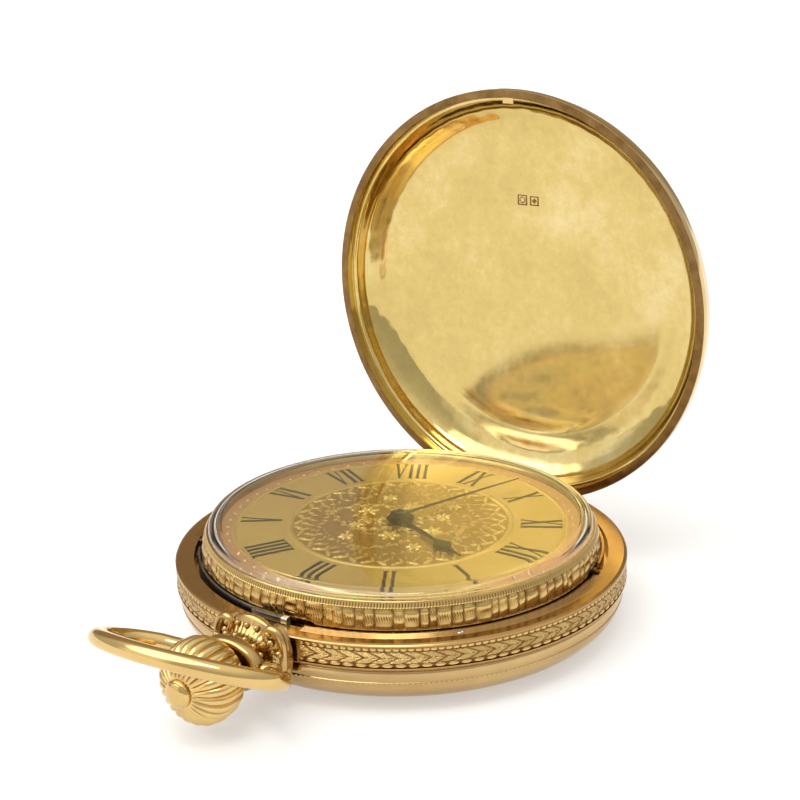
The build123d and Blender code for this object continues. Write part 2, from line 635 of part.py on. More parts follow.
with BuildPart() as fourth_wheel:
    with BuildSketch(Plane.XY.offset(6.2)):
        with Locations(FOURTH):
            Polygon(*teeth(80, 0.11), align=None)
            for k in range(5):
                with Locations(Location((FOURTH[0], FOURTH[1], 0), (0, 0, 1), 72 * k)):
                    with Locations((2.6, 0)):
                        Circle(0.9, mode=Mode.SUBTRACT)
    extrude(amount=0.2)
    with BuildSketch(Plane.XY.offset(4.5)):
        with Locations(FOURTH):
            Polygon(*teeth(10, 0.13, phase=mesh_phase(THIRD, 75, FOURTH, 10)), align=None)
    extrude(amount=0.4)
    with Locations((FOURTH[0], FOURTH[1], 3.6)):
        Cylinder(0.16, 3.8, align=(Align.CENTER, Align.CENTER, Align.MIN))
    with Locations((FOURTH[0], FOURTH[1], 4.4)):
        Cylinder(0.32, 2.3, align=(Align.CENTER, Align.CENTER, Align.MIN))
save(fourth_wheel, "fourth_wheel")

with BuildPart() as escape_wheel:
    with BuildSketch(Plane.XY.offset(4.6)):
        with Locations(ESC):
            pts = []
            for k in range(15):
                a = 2 * math.pi * k / 15
                for r, da in ((2.35, 0.0), (3.0, 0.12), (3.0, 0.17), (2.35, 0.2)):
                    pts.append((r * math.cos(a + da), r * math.sin(a + da)))
            Polygon(*pts, align=None)
            for k in range(4):
                with Locations(Location((ESC[0], ESC[1], 0), (0, 0, 1), 90 * k)):
                    with Locations((1.35, 0)):
                        Circle(0.5, mode=Mode.SUBTRACT)
    extrude(amount=0.2)
    with BuildSketch(Plane.XY.offset(6.1)):
        with Locations(ESC):
            Polygon(*teeth(8, 0.11, phase=mesh_phase(FOURTH, 80, ESC, 8)), align=None)
    extrude(amount=0.4)
    with Locations((ESC[0], ESC[1], 3.6)):
        Cylinder(0.16, 3.8, align=(Align.CENTER, Align.CENTER, Align.MIN))
    with Locations((ESC[0], ESC[1], 4.4)):
        Cylinder(0.3, 2.3, align=(Align.CENTER, Align.CENTER, Align.MIN))
save(escape_wheel, "escape_wheel")

S1 = (ESC[0] + 3.12 * math.cos(math.radians(50)), ESC[1] + 3.12 * math.sin(math.radians(50)))
S2 = (ESC[0] + 3.12 * math.cos(math.radians(-10)), ESC[1] + 3.12 * math.sin(math.radians(-10)))
with BuildPart() as pallet_fork:
    with BuildSketch(Plane.XY.offset(4.5)):
        with Locations(PAL):
            Circle(0.5)
        with BuildLine():
            d20 = (math.cos(math.radians(20)), math.sin(math.radians(20)))
            n20 = (-d20[1], d20[0])
            q = [(0, 0.25), (2.2, 0.16), (2.75, 0.42), (2.75, 0.2), (2.5, 0.0), (2.75, -0.2), (2.75, -0.42), (2.2, -0.16), (0, -0.25)]
            Polyline(*[(PAL[0] + u * d20[0] + v * n20[0], PAL[1] + u * d20[1] + v * n20[1]) for u, v in q], close=True)
        make_face()
        for (sx, sy), al in ((S1, 50), (S2, -10)):
            ux, uy = math.cos(math.radians(al)), math.sin(math.radians(al))
            px_, py_ = sx + 0.3 * ux, sy + 0.3 * uy
            dx, dy = px_ - PAL[0], py_ - PAL[1]
            L = math.hypot(dx, dy)
            with BuildLine():
                Polyline(*[(PAL[0] + dx / L * u - dy / L * v, PAL[1] + dy / L * u + dx / L * v)
                           for u, v in ((0, 0.25), (L, 0.28), (L, -0.28), (0, -0.25))], close=True)
            make_face()
            with Locations((px_, py_)):
                Circle(0.58)
    extrude(amount=0.4)
    # seats of the two stones
    with BuildSketch(Plane.XY.offset(4.5)):
        for (sx, sy), al in ((S1, 50), (S2, -10)):
            with Locations(Location((sx, sy, 0), (0, 0, 1), al)):
                with Locations((0.0, 0)):
                    Rectangle(0.8, 0.26)
    extrude(amount=0.4, mode=Mode.SUBTRACT)
    # room for the escape wheel
    with Locations((ESC[0], ESC[1], 4.6)):
        Cylinder(3.1, 2.0, mode=Mode.SUBTRACT)
    with Locations((PAL[0], PAL[1], 4.2)):
        Cylinder(0.16, 3.2, align=(Align.CENTER, Align.CENTER, Align.MIN))
save(pallet_fork, "pallet_fork")

with BuildPart() as pallet_stones:
    with BuildSketch(Plane.XY.offset(4.55)):
        for (sx, sy), al in ((S1, 50), (S2, -10)):
            with Locations(Location((sx, sy, 0), (0, 0, 1), al)):
                with Locations((0.16, 0)):
                    Rectangle(0.48, 0.26)
    extrude(amount=0.3)
save(pallet_stones, "pallet_stones")

with BuildPart() as balance_wheel:
    with BuildSketch(Plane.XY.offset(3.7)):
        with Locations(BAL):
            Circle(6.5)
            Circle(5.8, mode=Mode.SUBTRACT)
            Rectangle(12, 0.9)
            Circle(0.9)
            Circle(0.3, mode=Mode.SUBTRACT)
    extrude(amount=0.4)
    # timing screws round the rim
    with Locations(Location((BAL[0], BAL[1], 3.9))):
        with PolarLocations(6.55, 14, start_angle=12):
            Cylinder(0.16, 0.5, rotation=(0, 90, 0))
save(balance_wheel, "balance_wheel")

with BuildPart() as balance_staff:
    with Locations((BAL[0], BAL[1], 2.95)):
        Cylinder(0.12, 4.4, align=(Align.CENTER, Align.CENTER, Align.MIN))
    with Locations((BAL[0], BAL[1], 3.3)):
        Cylinder(0.3, 3.4, align=(Align.CENTER, Align.CENTER, Align.MIN))
    with Locations((BAL[0], BAL[1], 4.2)):
        Cylinder(0.85, 0.3, align=(Align.CENTER, Align.CENTER, Align.MIN))
save(balance_staff, "balance_staff")

with BuildPart() as hairspring:
    with BuildSketch(Plane.XY.offset(3.32)):
        r, w, p = 0.75, 0.08, 0.2
        for k in range(20):
            cx = BAL[0] + (p / 2 if k % 2 else 0.0)
            a0 = 0 if k % 2 == 0 else 180
            with BuildLine():
                l1 = CenterArc((cx, BAL[1]), r, a0, 180)
                l2 = CenterArc((cx, BAL[1]), r + w, a0, 180)
                Line(l1 @ 0, l2 @ 0)
                Line(l1 @ 1, l2 @ 1)
            make_face()
            r += p / 2
    extrude(amount=0.22)
save(hairspring, "hairspring")

with BuildPart() as balance_cock:
    with BuildSketch(Plane.XY.offset(2.5)):
        with Locations(BAL):
            Circle(1.9)
        ca = math.degrees(math.atan2(BAL[1], BAL[0]))
        with BuildLine():
            u = (math.cos(math.radians(ca)), math.sin(math.radians(ca)))
            n = (-u[1], u[0])
            Polyline(*[(u[0] * p_ + n[0] * q_, u[1] * p_ + n[1] * q_) for p_, q_ in ((11.1, 1.6), (17.0, 3.6), (19.4, 3.6), (19.4, -3.6), (17.0, -3.6), (11.1, -1.6))], close=True)
        make_face()
        with Locations(BAL):
            Circle(0.6, mode=Mode.SUBTRACT)
    extrude(amount=0.7)
    with BuildSketch(Plane.XY.offset(3.2)):
        with BuildLine():
            Polyline(*[(u[0] * p_ + n[0] * q_, u[1] * p_ + n[1] * q_) for p_, q_ in ((18.05, 3.6), (19.4, 3.6), (19.4, -3.6), (18.05, -3.6))], close=True)
        make_face()
    extrude(amount=3.8)
    with Locations((u[0] * 18.7 + n[0] * 2.2, u[1] * 18.7 + n[1] * 2.2, 2.5)):
        Cylinder(0.4, 3.0, align=(Align.CENTER, Align.CENTER, Align.MIN), mode=Mode.SUBTRACT)
save(balance_cock, "balance_cock")

with BuildPart() as regulator:
    with BuildSketch(Plane.XY.offset(2.3)):
        with Locations(BAL):
            Circle(1.0)
        with BuildLine():
            Polyline(*[(BAL[0] + u[0] * p_ + n[0] * q_, BAL[1] + u[1] * p_ + n[1] * q_) for p_, q_ in ((0, 0.25), (5.6, 0.08), (5.6, -0.08), (0, -0.25))], close=True)
        make_face()
        with Locations(BAL):
            Circle(0.6, mode=Mode.SUBTRACT)
    extrude(amount=0.2)
save(regulator, "regulator")

with BuildPart() as pallet_cock:
    n20 = (-d20[1], d20[0])
    with BuildSketch(Plane.XY.offset(4.17)):
        with BuildLine():
            Polyline(*[(PAL[0] + d20[0] * p_ + n20[0] * q_, PAL[1] + d20[1] * p_ + n20[1] * q_) for p_, q_ in ((-0.45, 3.1), (0.45, 3.1), (0.45, -3.1), (-0.45, -3.1))], close=True)
        make_face()
        with Locations(PAL):
            Circle(0.2, mode=Mode.SUBTRACT)
    extrude(amount=0.25)
    for q_ in (2.65, -2.65):
        with Locations((PAL[0] + n20[0] * q_, PAL[1] + n20[1] * q_, 4.3)):
            Cylinder(0.4, 2.7, align=(Align.CENTER, Align.CENTER, Align.MIN))
save(pallet_cock, "pallet_cock")

with BuildPart() as barrel:
    with BuildSketch(Plane.XY.offset(5.9)):
        with Locations(BAR):
            Polygon(*teeth(78, 0.2), align=None)
    extrude(amount=0.6)
    with Locations((BAR[0], BAR[1], 4.2)):
        Cylinder(7.5, 2.3, align=(Align.CENTER, Align.CENTER, Align.MIN))
    with Locations((BAR[0], BAR[1], 4.6)):
        Cylinder(7.15, 1.5, align=(Align.CENTER, Align.CENTER, Align.MIN), mode=Mode.SUBTRACT)
    with Locations((BAR[0], BAR[1], 4.0)):
        Cylinder(1.05, 3.0, align=(Align.CENTER, Align.CENTER, Align.MIN), mode=Mode.SUBTRACT)
    # opening of the barrel cover
    with Locations((BAR[0], BAR[1], 4.2)):
        Cylinder(7.15, 0.4, align=(Align.CENTER, Align.CENTER, Align.MIN), mode=Mode.SUBTRACT)
save(barrel, "barrel")

with BuildPart() as barrel_cover:
    with Locations((BAR[0], BAR[1], 4.2)):
        Cylinder(7.15, 0.3, align=(Align.CENTER, Align.CENTER, Align.MIN))
    with Locations((BAR[0], BAR[1], 4.0)):
        Cylinder(1.05, 1.0, align=(Align.CENTER, Align.CENTER, Align.MIN), mode=Mode.SUBTRACT)
save(barrel_cover, "barrel_cover")

with BuildPart() as mainspring:
    with BuildSketch(Plane.XY.offset(4.65)):
        r, w, p = 3.6, 0.16, 0.5
        for k in range(13):
            cx = BAR[0] + (p / 2 if k % 2 else 0.0)
            a0 = 0 if k % 2 == 0 else 180
            with BuildLine():
                l1 = CenterArc((cx, BAR[1]), r, a0, 180)
                l2 = CenterArc((cx, BAR[1]), r + w, a0, 180)
                Line(l1 @ 0, l2 @ 0)
                Line(l1 @ 1, l2 @ 1)
            make_face()
            r += p / 2
    extrude(amount=1.3)
save(mainspring, "mainspring")

with BuildPart() as barrel_arbor:
    with Locations((BAR[0], BAR[1], 2.45)):
        Cylinder(0.6, 0.5, align=(Align.CENTER, Align.CENTER, Align.MIN))
    with Locations((BAR[0], BAR[1], 2.87)):
        Cylinder(1.0, 5.1, align=(Align.CENTER, Align.CENTER, Align.MIN))
    with Locations((BAR[0], BAR[1], 4.6)):
        Cylinder(2.2, 1.4, align=(Align.CENTER, Align.CENTER, Align.MIN))
save(barrel_arbor, "barrel_arbor")

with BuildPart() as ratchet_wheel:
    with BuildSketch(Plane.XY.offset(2.45)):
        with Locations(BAR):
            Polygon(*teeth(44, 0.2), align=None)
            Circle(0.6, mode=Mode.SUBTRACT)
    extrude(amount=0.4)
save(ratchet_wheel, "ratchet_wheel")

with BuildPart() as crown_wheel:
    with BuildSketch(Plane.XY.offset(2.45)):
        with Locations(CRW):
            Polygon(*teeth(24, 0.2, phase=mesh_phase(BAR, 44, CRW, 24)), align=None)
            Circle(0.65, mode=Mode.SUBTRACT)
    extrude(amount=0.4)
save(crown_wheel, "crown_wheel")

CLK = (BAR[0] + 6.2 * math.cos(math.radians(160)), BAR[1] + 6.2 * math.sin(math.radians(160)))
with BuildPart() as click:
    with BuildSketch(Plane.XY.offset(2.45)):
        with Locations(CLK):
            Circle(0.85)
        with BuildLine():
            Polyline((CLK[0] - 0.5, CLK[1] + 0.6), (BAR[0] + 5.05 * math.cos(math.radians(143)), BAR[1] + 5.05 * math.sin(math.radians(143))),
                     (BAR[0] + 4.85 * math.cos(math.radians(146)), BAR[1] + 4.85 * math.sin(math.radians(146))),
                     (CLK[0] + 0.5, CLK[1] - 0.4), close=True)
        make_face()
        with Locations(CLK):
            Circle(0.4, mode=Mode.SUBTRACT)
    extrude(amount=0.4)
save(click, "click")

with BuildPart() as click_spring:
    with BuildSketch(Plane.XY.offset(2.55)):
        with BuildLine():
            l1 = CenterArc(BAR, 7.6, 168, 40)
            l2 = CenterArc(BAR, 7.72, 168, 40)
            Line(l1 @ 0, l2 @ 0)
            Line(l1 @ 1, l2 @ 1)
        make_face()
    extrude(amount=0.35)
save(click_spring, "click_spring")

with BuildPart() as barrel_bridge:
    with BuildSketch(Plane.XY.offset(BRIDGE_Z0)):
        Circle(19.6)
        with Locations((0, -1.2 - 15)):
            Rectangle(50, 30, mode=Mode.SUBTRACT)
        with Locations(BAL):
            Circle(6.95, mode=Mode.SUBTRACT)
    extrude(amount=BRIDGE_Z1 - BRIDGE_Z0)
    with BuildSketch(Plane.XY.offset(BRIDGE_Z1)):
        Circle(19.6)
        Circle(18.4, mode=Mode.SUBTRACT)
        with Locations((0, -1.2 - 15)):
            Rectangle(50, 30, mode=Mode.SUBTRACT)
        with Locations((16, 0)):
            Rectangle(10, 2.6, mode=Mode.SUBTRACT)
    extrude(amount=PLATE_Z0 - BRIDGE_Z1)
    with Locations((BAR[0], BAR[1], 3.5)):
        Cylinder(1.06, 2, mode=Mode.SUBTRACT)
    with Locations((0, 0, 3.5)):
        Cylinder(0.4, 2, mode=Mode.SUBTRACT)
    # studs of crown wheel and click
    with Locations((CRW[0], CRW[1], 2.4)):
        Cylinder(0.6, 0.6, align=(Align.CENTER, Align.CENTER, Align.MIN))
    with Locations((CLK[0], CLK[1], 2.4)):
        Cylinder(0.35, 0.6, align=(Align.CENTER, Align.CENTER, Align.MIN))
    for x, y in CASE_SC:
        with Locations((x, y, 6.3)):
            Cylinder(0.9, 0.75, align=(Align.CENTER, Align.CENTER, Align.MIN), mode=Mode.SUBTRACT)
save(barrel_bridge, "barrel_bridge")

with BuildPart() as train_bridge:
    with BuildSketch(Plane.XY.offset(BRIDGE_Z0)):
        Circle(19.6)
        with Locations((0, -1.5 + 15)):
            Rectangle(50, 30, mode=Mode.SUBTRACT)
        with Locations((3.4 + 15, 0)):
            Rectangle(30, 50, mode=Mode.SUBTRACT)
        with Locations(BAL):
            Circle(6.95, mode=Mode.SUBTRACT)
    extrude(amount=BRIDGE_Z1 - BRIDGE_Z0)
    with BuildSketch(Plane.XY.offset(BRIDGE_Z1)):
        Circle(19.6)
        Circle(18.4, mode=Mode.SUBTRACT)
        with Locations((0, -1.5 + 15)):
            Rectangle(50, 30, mode=Mode.SUBTRACT)
        with Locations((3.4 + 15, 0)):
            Rectangle(30, 50, mode=Mode.SUBTRACT)
    extrude(amount=PLATE_Z0 - BRIDGE_Z1)
    for x, y in (THIRD, FOURTH, ESC):
        with Locations((x, y, 3.5)):
            Cylinder(0.5, 1.4, mode=Mode.SUBTRACT)
    for x, y in CASE_SC:
        with Locations((x, y, 6.3)):
            Cylinder(0.9, 0.75, align=(Align.CENTER, Align.CENTER, Align.MIN), mode=Mode.SUBTRACT)
save(train_bridge, "train_bridge")

with BuildPart() as train_jewels:
    for x, y in (THIRD, FOURTH, ESC):
        with Locations((x, y, 3.5)):
            Cylinder(0.5, 1.2)
    for x, y in (THIRD, FOURTH, ESC):
        with Locations((x, y, 3.5)):
            Cylinder(0.2, 1.4, mode=Mode.SUBTRACT)
    with Locations((BAL[0], BAL[1], 2.85)):
        Cylinder(0.6, 0.7)
        Cylinder(0.16, 1.0, mode=Mode.SUBTRACT)
save(train_jewels, "train_jewels")

BS = [(19.0 * math.cos(math.radians(a)), 19.0 * math.sin(math.radians(a))) for a in (20, 95, 150, 205, 262)]
with BuildPart() as bridge_screws:
    for x, y in BS:
        with Locations((x, y, 2.5)):
            Cylinder(0.55, 0.4, align=(Align.CENTER, Align.CENTER, Align.MIN))
    with Locations((u[0] * 18.7 + n[0] * 2.2, u[1] * 18.7 + n[1] * 2.2, 2.3)):
        Cylinder(0.6, 0.2, align=(Align.CENTER, Align.CENTER, Align.MIN))
save(bridge_screws, "bridge_screws")
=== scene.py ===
import json
import math

import bpy
import numpy as np
from mathutils import Matrix, Vector


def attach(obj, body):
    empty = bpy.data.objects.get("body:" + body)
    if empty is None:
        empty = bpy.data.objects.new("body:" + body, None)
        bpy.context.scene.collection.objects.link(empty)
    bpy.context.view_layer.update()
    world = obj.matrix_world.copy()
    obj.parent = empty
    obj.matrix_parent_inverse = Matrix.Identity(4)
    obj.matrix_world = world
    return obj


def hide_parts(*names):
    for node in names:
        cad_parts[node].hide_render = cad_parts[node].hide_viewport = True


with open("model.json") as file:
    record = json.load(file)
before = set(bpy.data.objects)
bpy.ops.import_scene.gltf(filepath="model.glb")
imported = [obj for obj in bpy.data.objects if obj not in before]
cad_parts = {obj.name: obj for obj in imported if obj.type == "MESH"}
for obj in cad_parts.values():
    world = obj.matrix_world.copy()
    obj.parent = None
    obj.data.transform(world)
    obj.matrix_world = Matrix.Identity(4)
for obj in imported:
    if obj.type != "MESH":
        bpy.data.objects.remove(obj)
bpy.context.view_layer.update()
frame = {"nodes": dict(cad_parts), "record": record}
N = frame["nodes"]
MM = 0.001
TAU = 2 * math.pi
rng = np.random.default_rng(7)

# ------------------------------------------------------------------ sizes (mm)
HX, HZ, OPEN = -23.35, 7.42, math.radians(88.98)
PZ, BOW_X, BOW_ANG = 6.0, 29.3, math.radians(27.0)
BX, BZ = -24.9, 4.95


# ------------------------------------------------------------------ materials
def new_mat(name):
    m = bpy.data.materials.new(name)
    m.use_nodes = True
    nt = m.node_tree
    b = nt.nodes["Principled BSDF"]
    return m, nt, b


def noise(nt, coord, scale, detail=3.0, rough=0.55, stretch=None):
    n = nt.nodes.new("ShaderNodeTexNoise")
    n.inputs["Scale"].default_value = scale
    n.inputs["Detail"].default_value = detail
    n.inputs["Roughness"].default_value = rough
    if stretch:
        mp = nt.nodes.new("ShaderNodeMapping")
        mp.inputs["Scale"].default_value = stretch
        nt.links.new(coord, mp.inputs["Vector"])
        nt.links.new(mp.outputs["Vector"], n.inputs["Vector"])
    else:
        nt.links.new(coord, n.inputs["Vector"])
    return n.outputs["Fac"]


def ranged(nt, value, a, b, lo, hi):
    r = nt.nodes.new("ShaderNodeMapRange")
    r.inputs["From Min"].default_value = a
    r.inputs["From Max"].default_value = b
    r.inputs["To Min"].default_value = lo
    r.inputs["To Max"].default_value = hi
    nt.links.new(value, r.inputs["Value"])
    return r.outputs["Result"]


def mix_col(nt, fac, c0, c1):
    r = nt.nodes.new("ShaderNodeValToRGB")
    r.color_ramp.elements[0].position = 0.3
    r.color_ramp.elements[0].color = (*c0, 1)
    r.color_ramp.elements[1].position = 0.7
    r.color_ramp.elements[1].color = (*c1, 1)
    nt.links.new(fac, r.inputs["Fac"])
    return r.outputs["Color"]


def bump(nt, height, strength, dist, base=None):
    b = nt.nodes.new("ShaderNodeBump")
    b.inputs["Strength"].default_value = strength
    b.inputs["Distance"].default_value = dist
    nt.links.new(height, b.inputs["Height"])
    if base is not None:
        nt.links.new(base, b.inputs["Normal"])
    return b.outputs["Normal"]


def metal(name, c0, c1, r0, r1, patch=140.0, grain=9000.0, grain_h=0.0, scratch=0.0, scratch_dir=(1, 1, 14), aniso=0.0):
    """Metal whose tone, gloss and fine surface change from place to place."""
    m, nt, b = new_mat(name)
    tc = nt.nodes.new("ShaderNodeTexCoord").outputs["Object"]
    n1 = noise(nt, tc, patch, 4.0, 0.6)
    nt.links.new(mix_col(nt, n1, c0, c1), b.inputs["Base Color"])
    n2 = noise(nt, tc, patch * 5.5, 5.0, 0.65)
    nt.links.new(ranged(nt, n2, 0.3, 0.7, r0, r1), b.inputs["Roughness"])
    b.inputs["Metallic"].default_value = 1.0
    b.inputs["Anisotropic"].default_value = aniso
    nrm = None
    if grain_h:
        nrm = bump(nt, noise(nt, tc, grain, 2.0, 0.5), 0.5, grain_h * MM, nrm)
    if scratch:
        nrm = bump(nt, noise(nt, tc, 2600.0, 2.0, 0.6, scratch_dir), 0.4, scratch * MM, nrm)
    if nrm is not None:
        nt.links.new(nrm, b.inputs["Normal"])
    return m


G_A, G_B = (0.620, 0.415, 0.155), (0.720, 0.510, 0.205)
M = {}
M["gold"] = metal("gold_satin", (0.640, 0.435, 0.170), (0.740, 0.530, 0.220), 0.16, 0.27, grain_h=0.004, scratch=0.003)
M["pend"] = metal("gold_pendant", (0.430, 0.275, 0.100), (0.560, 0.385, 0.155), 0.12, 0.24, grain_h=0.003, scratch=0.003)
# painted shade: the back cover's gold is a darker copy of the plain gold, standing in for the shade on the underside
# and the shadowed table it mirrors
M["back"] = metal("gold_back_painted_shade", (0.470, 0.310, 0.130), (0.560, 0.385, 0.170), 0.09, 0.16, grain_h=0.001, scratch=0.0012)


def make_lid():
    """Polished inside of the cover: pale bloom, hairlines and small dints in an otherwise bright surface."""
    m, nt, b = new_mat("gold_polished_inside")
    tc = nt.nodes.new("ShaderNodeTexCoord").outputs["Object"]
    n1 = noise(nt, tc, 95, 5.0, 0.62)
    n2 = noise(nt, tc, 900, 5.0, 0.7)
    ad = nt.nodes.new("ShaderNodeMath")
    ad.operation = "MULTIPLY_ADD"
    ad.inputs[1].default_value = 0.45
    nt.links.new(n2, ad.inputs[0])
    nt.links.new(n1, ad.inputs[2])
    r = nt.nodes.new("ShaderNodeValToRGB")
    e = r.color_ramp.elements
    e[0].position, e[0].color = 0.55, (0.560, 0.425, 0.150, 1)
    e[1].position, e[1].color = 0.95, (0.740, 0.590, 0.290, 1)
    x = e.new(0.74)
    x.color = (0.640, 0.480, 0.175, 1)
    nt.links.new(ad.outputs[0], r.inputs["Fac"])
    nt.links.new(r.outputs["Color"], b.inputs["Base Color"])
    b.inputs["Metallic"].default_value = 1.0
    nt.links.new(ranged(nt, ad.outputs[0], 0.5, 1.0, 0.045, 0.16), b.inputs["Roughness"])
    h = bump(nt, noise(nt, tc, 1900.0, 3.0, 0.6, (1, 0.10, 1.3)), 0.35, 0.0016 * MM)
    h = bump(nt, noise(nt, tc, 1500.0, 3.0, 0.6, (1, 1.5, 0.09)), 0.35, 0.0013 * MM, h)
    h = bump(nt, noise(nt, tc, 7000, 2.0, 0.5), 0.4, 0.0008 * MM, h)
    nt.links.new(h, b.inputs["Normal"])
    return m


M["lid"] = make_lid()
M["rim"] = metal("gold_worn_rim", (0.16, 0.086, 0.029), (0.29, 0.172, 0.063), 0.30, 0.46, patch=500, grain_h=0.008, scratch=0.006)
M["polish"] = metal("gold_polished", G_A, G_B, 0.07, 0.14, grain_h=0.001, scratch=0.0012)
M["engraved"] = metal("gold_engraved", (0.560, 0.360, 0.125), (0.740, 0.520, 0.205), 0.16, 0.34, patch=700, grain=12000, grain_h=0.012)


def engraved(name, low, mid, high, r_low, r_high, patch, grain_h):
    """Chased gold: cut ground dark and dull, crests worn bright. The dark ground is partly patina and partly painted
    shade in the hollows. Reads the depth stored on the mesh.
    """
    m, nt, b = new_mat(name)
    tc = nt.nodes.new("ShaderNodeTexCoord").outputs["Object"]
    at = nt.nodes.new("ShaderNodeAttribute")
    at.attribute_name = "depth"
    n1 = noise(nt, tc, patch, 4.0, 0.65)
    ad = nt.nodes.new("ShaderNodeMath")
    ad.operation = "MULTIPLY_ADD"
    ad.inputs[1].default_value = 0.55
    nt.links.new(n1, ad.inputs[0])
    nt.links.new(at.outputs["Fac"], ad.inputs[2])
    r = nt.nodes.new("ShaderNodeValToRGB")
    e = r.color_ramp.elements
    e[0].position, e[0].color = 0.18, (*low, 1)
    e[1].position, e[1].color = 1.10 if False else 1.0, (*high, 1)
    x = e.new(0.58)
    x.color = (*mid, 1)
    nt.links.new(ad.outputs[0], r.inputs["Fac"])
    nt.links.new(r.outputs["Color"], b.inputs["Base Color"])
    b.inputs["Metallic"].default_value = 1.0
    nt.links.new(ranged(nt, ad.outputs[0], 0.2, 1.2, r_low, r_high), b.inputs["Roughness"])
    nt.links.new(bump(nt, noise(nt, tc, 11000, 2.0, 0.5), 0.5, grain_h * MM), b.inputs["Normal"])
    return m


# painted shade: the chasing and the ribbed bezel are darker than the plain gold all over and darkest where cut deepest;
# the hollows are partly patina, partly painted shade
M["chased"] = engraved("gold_chased_patina_painted_shade", (0.11, 0.042, 0.011), (0.34, 0.185, 0.055), (0.62, 0.43, 0.17), 0.40, 0.15, 700, 0.012)
M["ribbed"] = engraved("gold_ribbed_patina_painted_shade", (0.12, 0.050, 0.012), (0.33, 0.185, 0.055), (0.60, 0.41, 0.15), 0.32, 0.11, 420, 0.005)
M["tarnish"] = metal("gold_tarnished_ground", (0.16, 0.085, 0.03), (0.30, 0.17, 0.06), 0.45, 0.6, patch=1500, grain_h=0.01)
M["ledge"] = metal("gold_turned_ledge", (0.41, 0.24, 0.084), (0.48, 0.30, 0.115), 0.17, 0.26, patch=110, grain_h=0.0012, scratch=0.0012)
# painted highlight: near-white steel, far paler than real steel, stands in for the glints on the catch's tip and on the
# case pin
M["frost"] = metal("steel_tip_painted_glint", (0.85, 0.85, 0.84), (0.95, 0.95, 0.94), 0.25, 0.4, grain_h=0.004)
M["steel"] = metal("steel_dark", (0.13, 0.13, 0.14), (0.22, 0.22, 0.23), 0.22, 0.4, grain_h=0.006, scratch=0.006, scratch_dir=(6, 6, 1))
M["bright_steel"] = metal("steel_bright", (0.50, 0.50, 0.49), (0.62, 0.61, 0.59), 0.14, 0.26, grain_h=0.003, scratch=0.004)
M["blued"] = metal("steel_blued", (0.020, 0.022, 0.034), (0.035, 0.040, 0.065), 0.16, 0.28, patch=400, grain_h=0.002)
M["brass"] = metal("brass_plate", (0.62, 0.44, 0.16), (0.74, 0.54, 0.22), 0.2, 0.34, grain_h=0.005, scratch=0.005)
M["nickel"] = metal("nickel_plate", (0.58, 0.55, 0.50), (0.68, 0.65, 0.60), 0.18, 0.3, grain_h=0.004, scratch=0.006)


def make_ruby():
    m, nt, b = new_mat("ruby")
    tc = nt.nodes.new("ShaderNodeTexCoord").outputs["Object"]
    nt.links.new(mix_col(nt, noise(nt, tc, 800, 3), (0.42, 0.015, 0.05), (0.6, 0.03, 0.09)), b.inputs["Base Color"])
    b.inputs["Roughness"].default_value = 0.08
    b.inputs["IOR"].default_value = 1.76
    b.inputs["Transmission Weight"].default_value = 0.4
    return m


M["ruby"] = make_ruby()


def make_ink():
    m, nt, b = new_mat("numeral_black")
    b.inputs["Specular IOR Level"].default_value = 0.2
    tc = nt.nodes.new("ShaderNodeTexCoord").outputs["Object"]
    n = noise(nt, tc, 1500, 4)
    nt.links.new(mix_col(nt, n, (0.014, 0.012, 0.010), (0.040, 0.032, 0.022)), b.inputs["Base Color"])
    nt.links.new(ranged(nt, n, 0.3, 0.7, 0.3, 0.5), b.inputs["Roughness"])
    nt.links.new(bump(nt, noise(nt, tc, 5000, 2), 0.4, 0.006 * MM), b.inputs["Normal"])
    return m


M["ink"] = make_ink()


def make_glass():
    m, nt, b = new_mat("crystal_glass")
    b.inputs["Base Color"].default_value = (0.985, 0.99, 0.985, 1)
    b.inputs["Roughness"].default_value = 0.0
    b.inputs["IOR"].default_value = 1.5
    b.inputs["Transmission Weight"].default_value = 1.0
    tc = nt.nodes.new("ShaderNodeTexCoord").outputs["Object"]
    nt.links.new(ranged(nt, noise(nt, tc, 260, 4), 0.45, 0.75, 0.0, 0.03), b.inputs["Roughness"])
    return m


M["glass"] = make_glass()


def polar(nt):
    """Angle about Z and radius of the surface point."""
    tc = nt.nodes.new("ShaderNodeTexCoord").outputs["Object"]
    sp = nt.nodes.new("ShaderNodeSeparateXYZ")
    nt.links.new(tc, sp.inputs[0])
    at = nt.nodes.new("ShaderNodeMath")
    at.operation = "ARCTAN2"
    nt.links.new(sp.outputs["Y"], at.inputs[0])
    nt.links.new(sp.outputs["X"], at.inputs[1])
    ln = nt.nodes.new("ShaderNodeVectorMath")
    ln.operation = "LENGTH"
    fl = nt.nodes.new("ShaderNodeCombineXYZ")
    nt.links.new(sp.outputs["X"], fl.inputs["X"])
    nt.links.new(sp.outputs["Y"], fl.inputs["Y"])
    nt.links.new(fl.outputs[0], ln.inputs[0])
    return tc, at.outputs[0], ln.outputs["Value"]


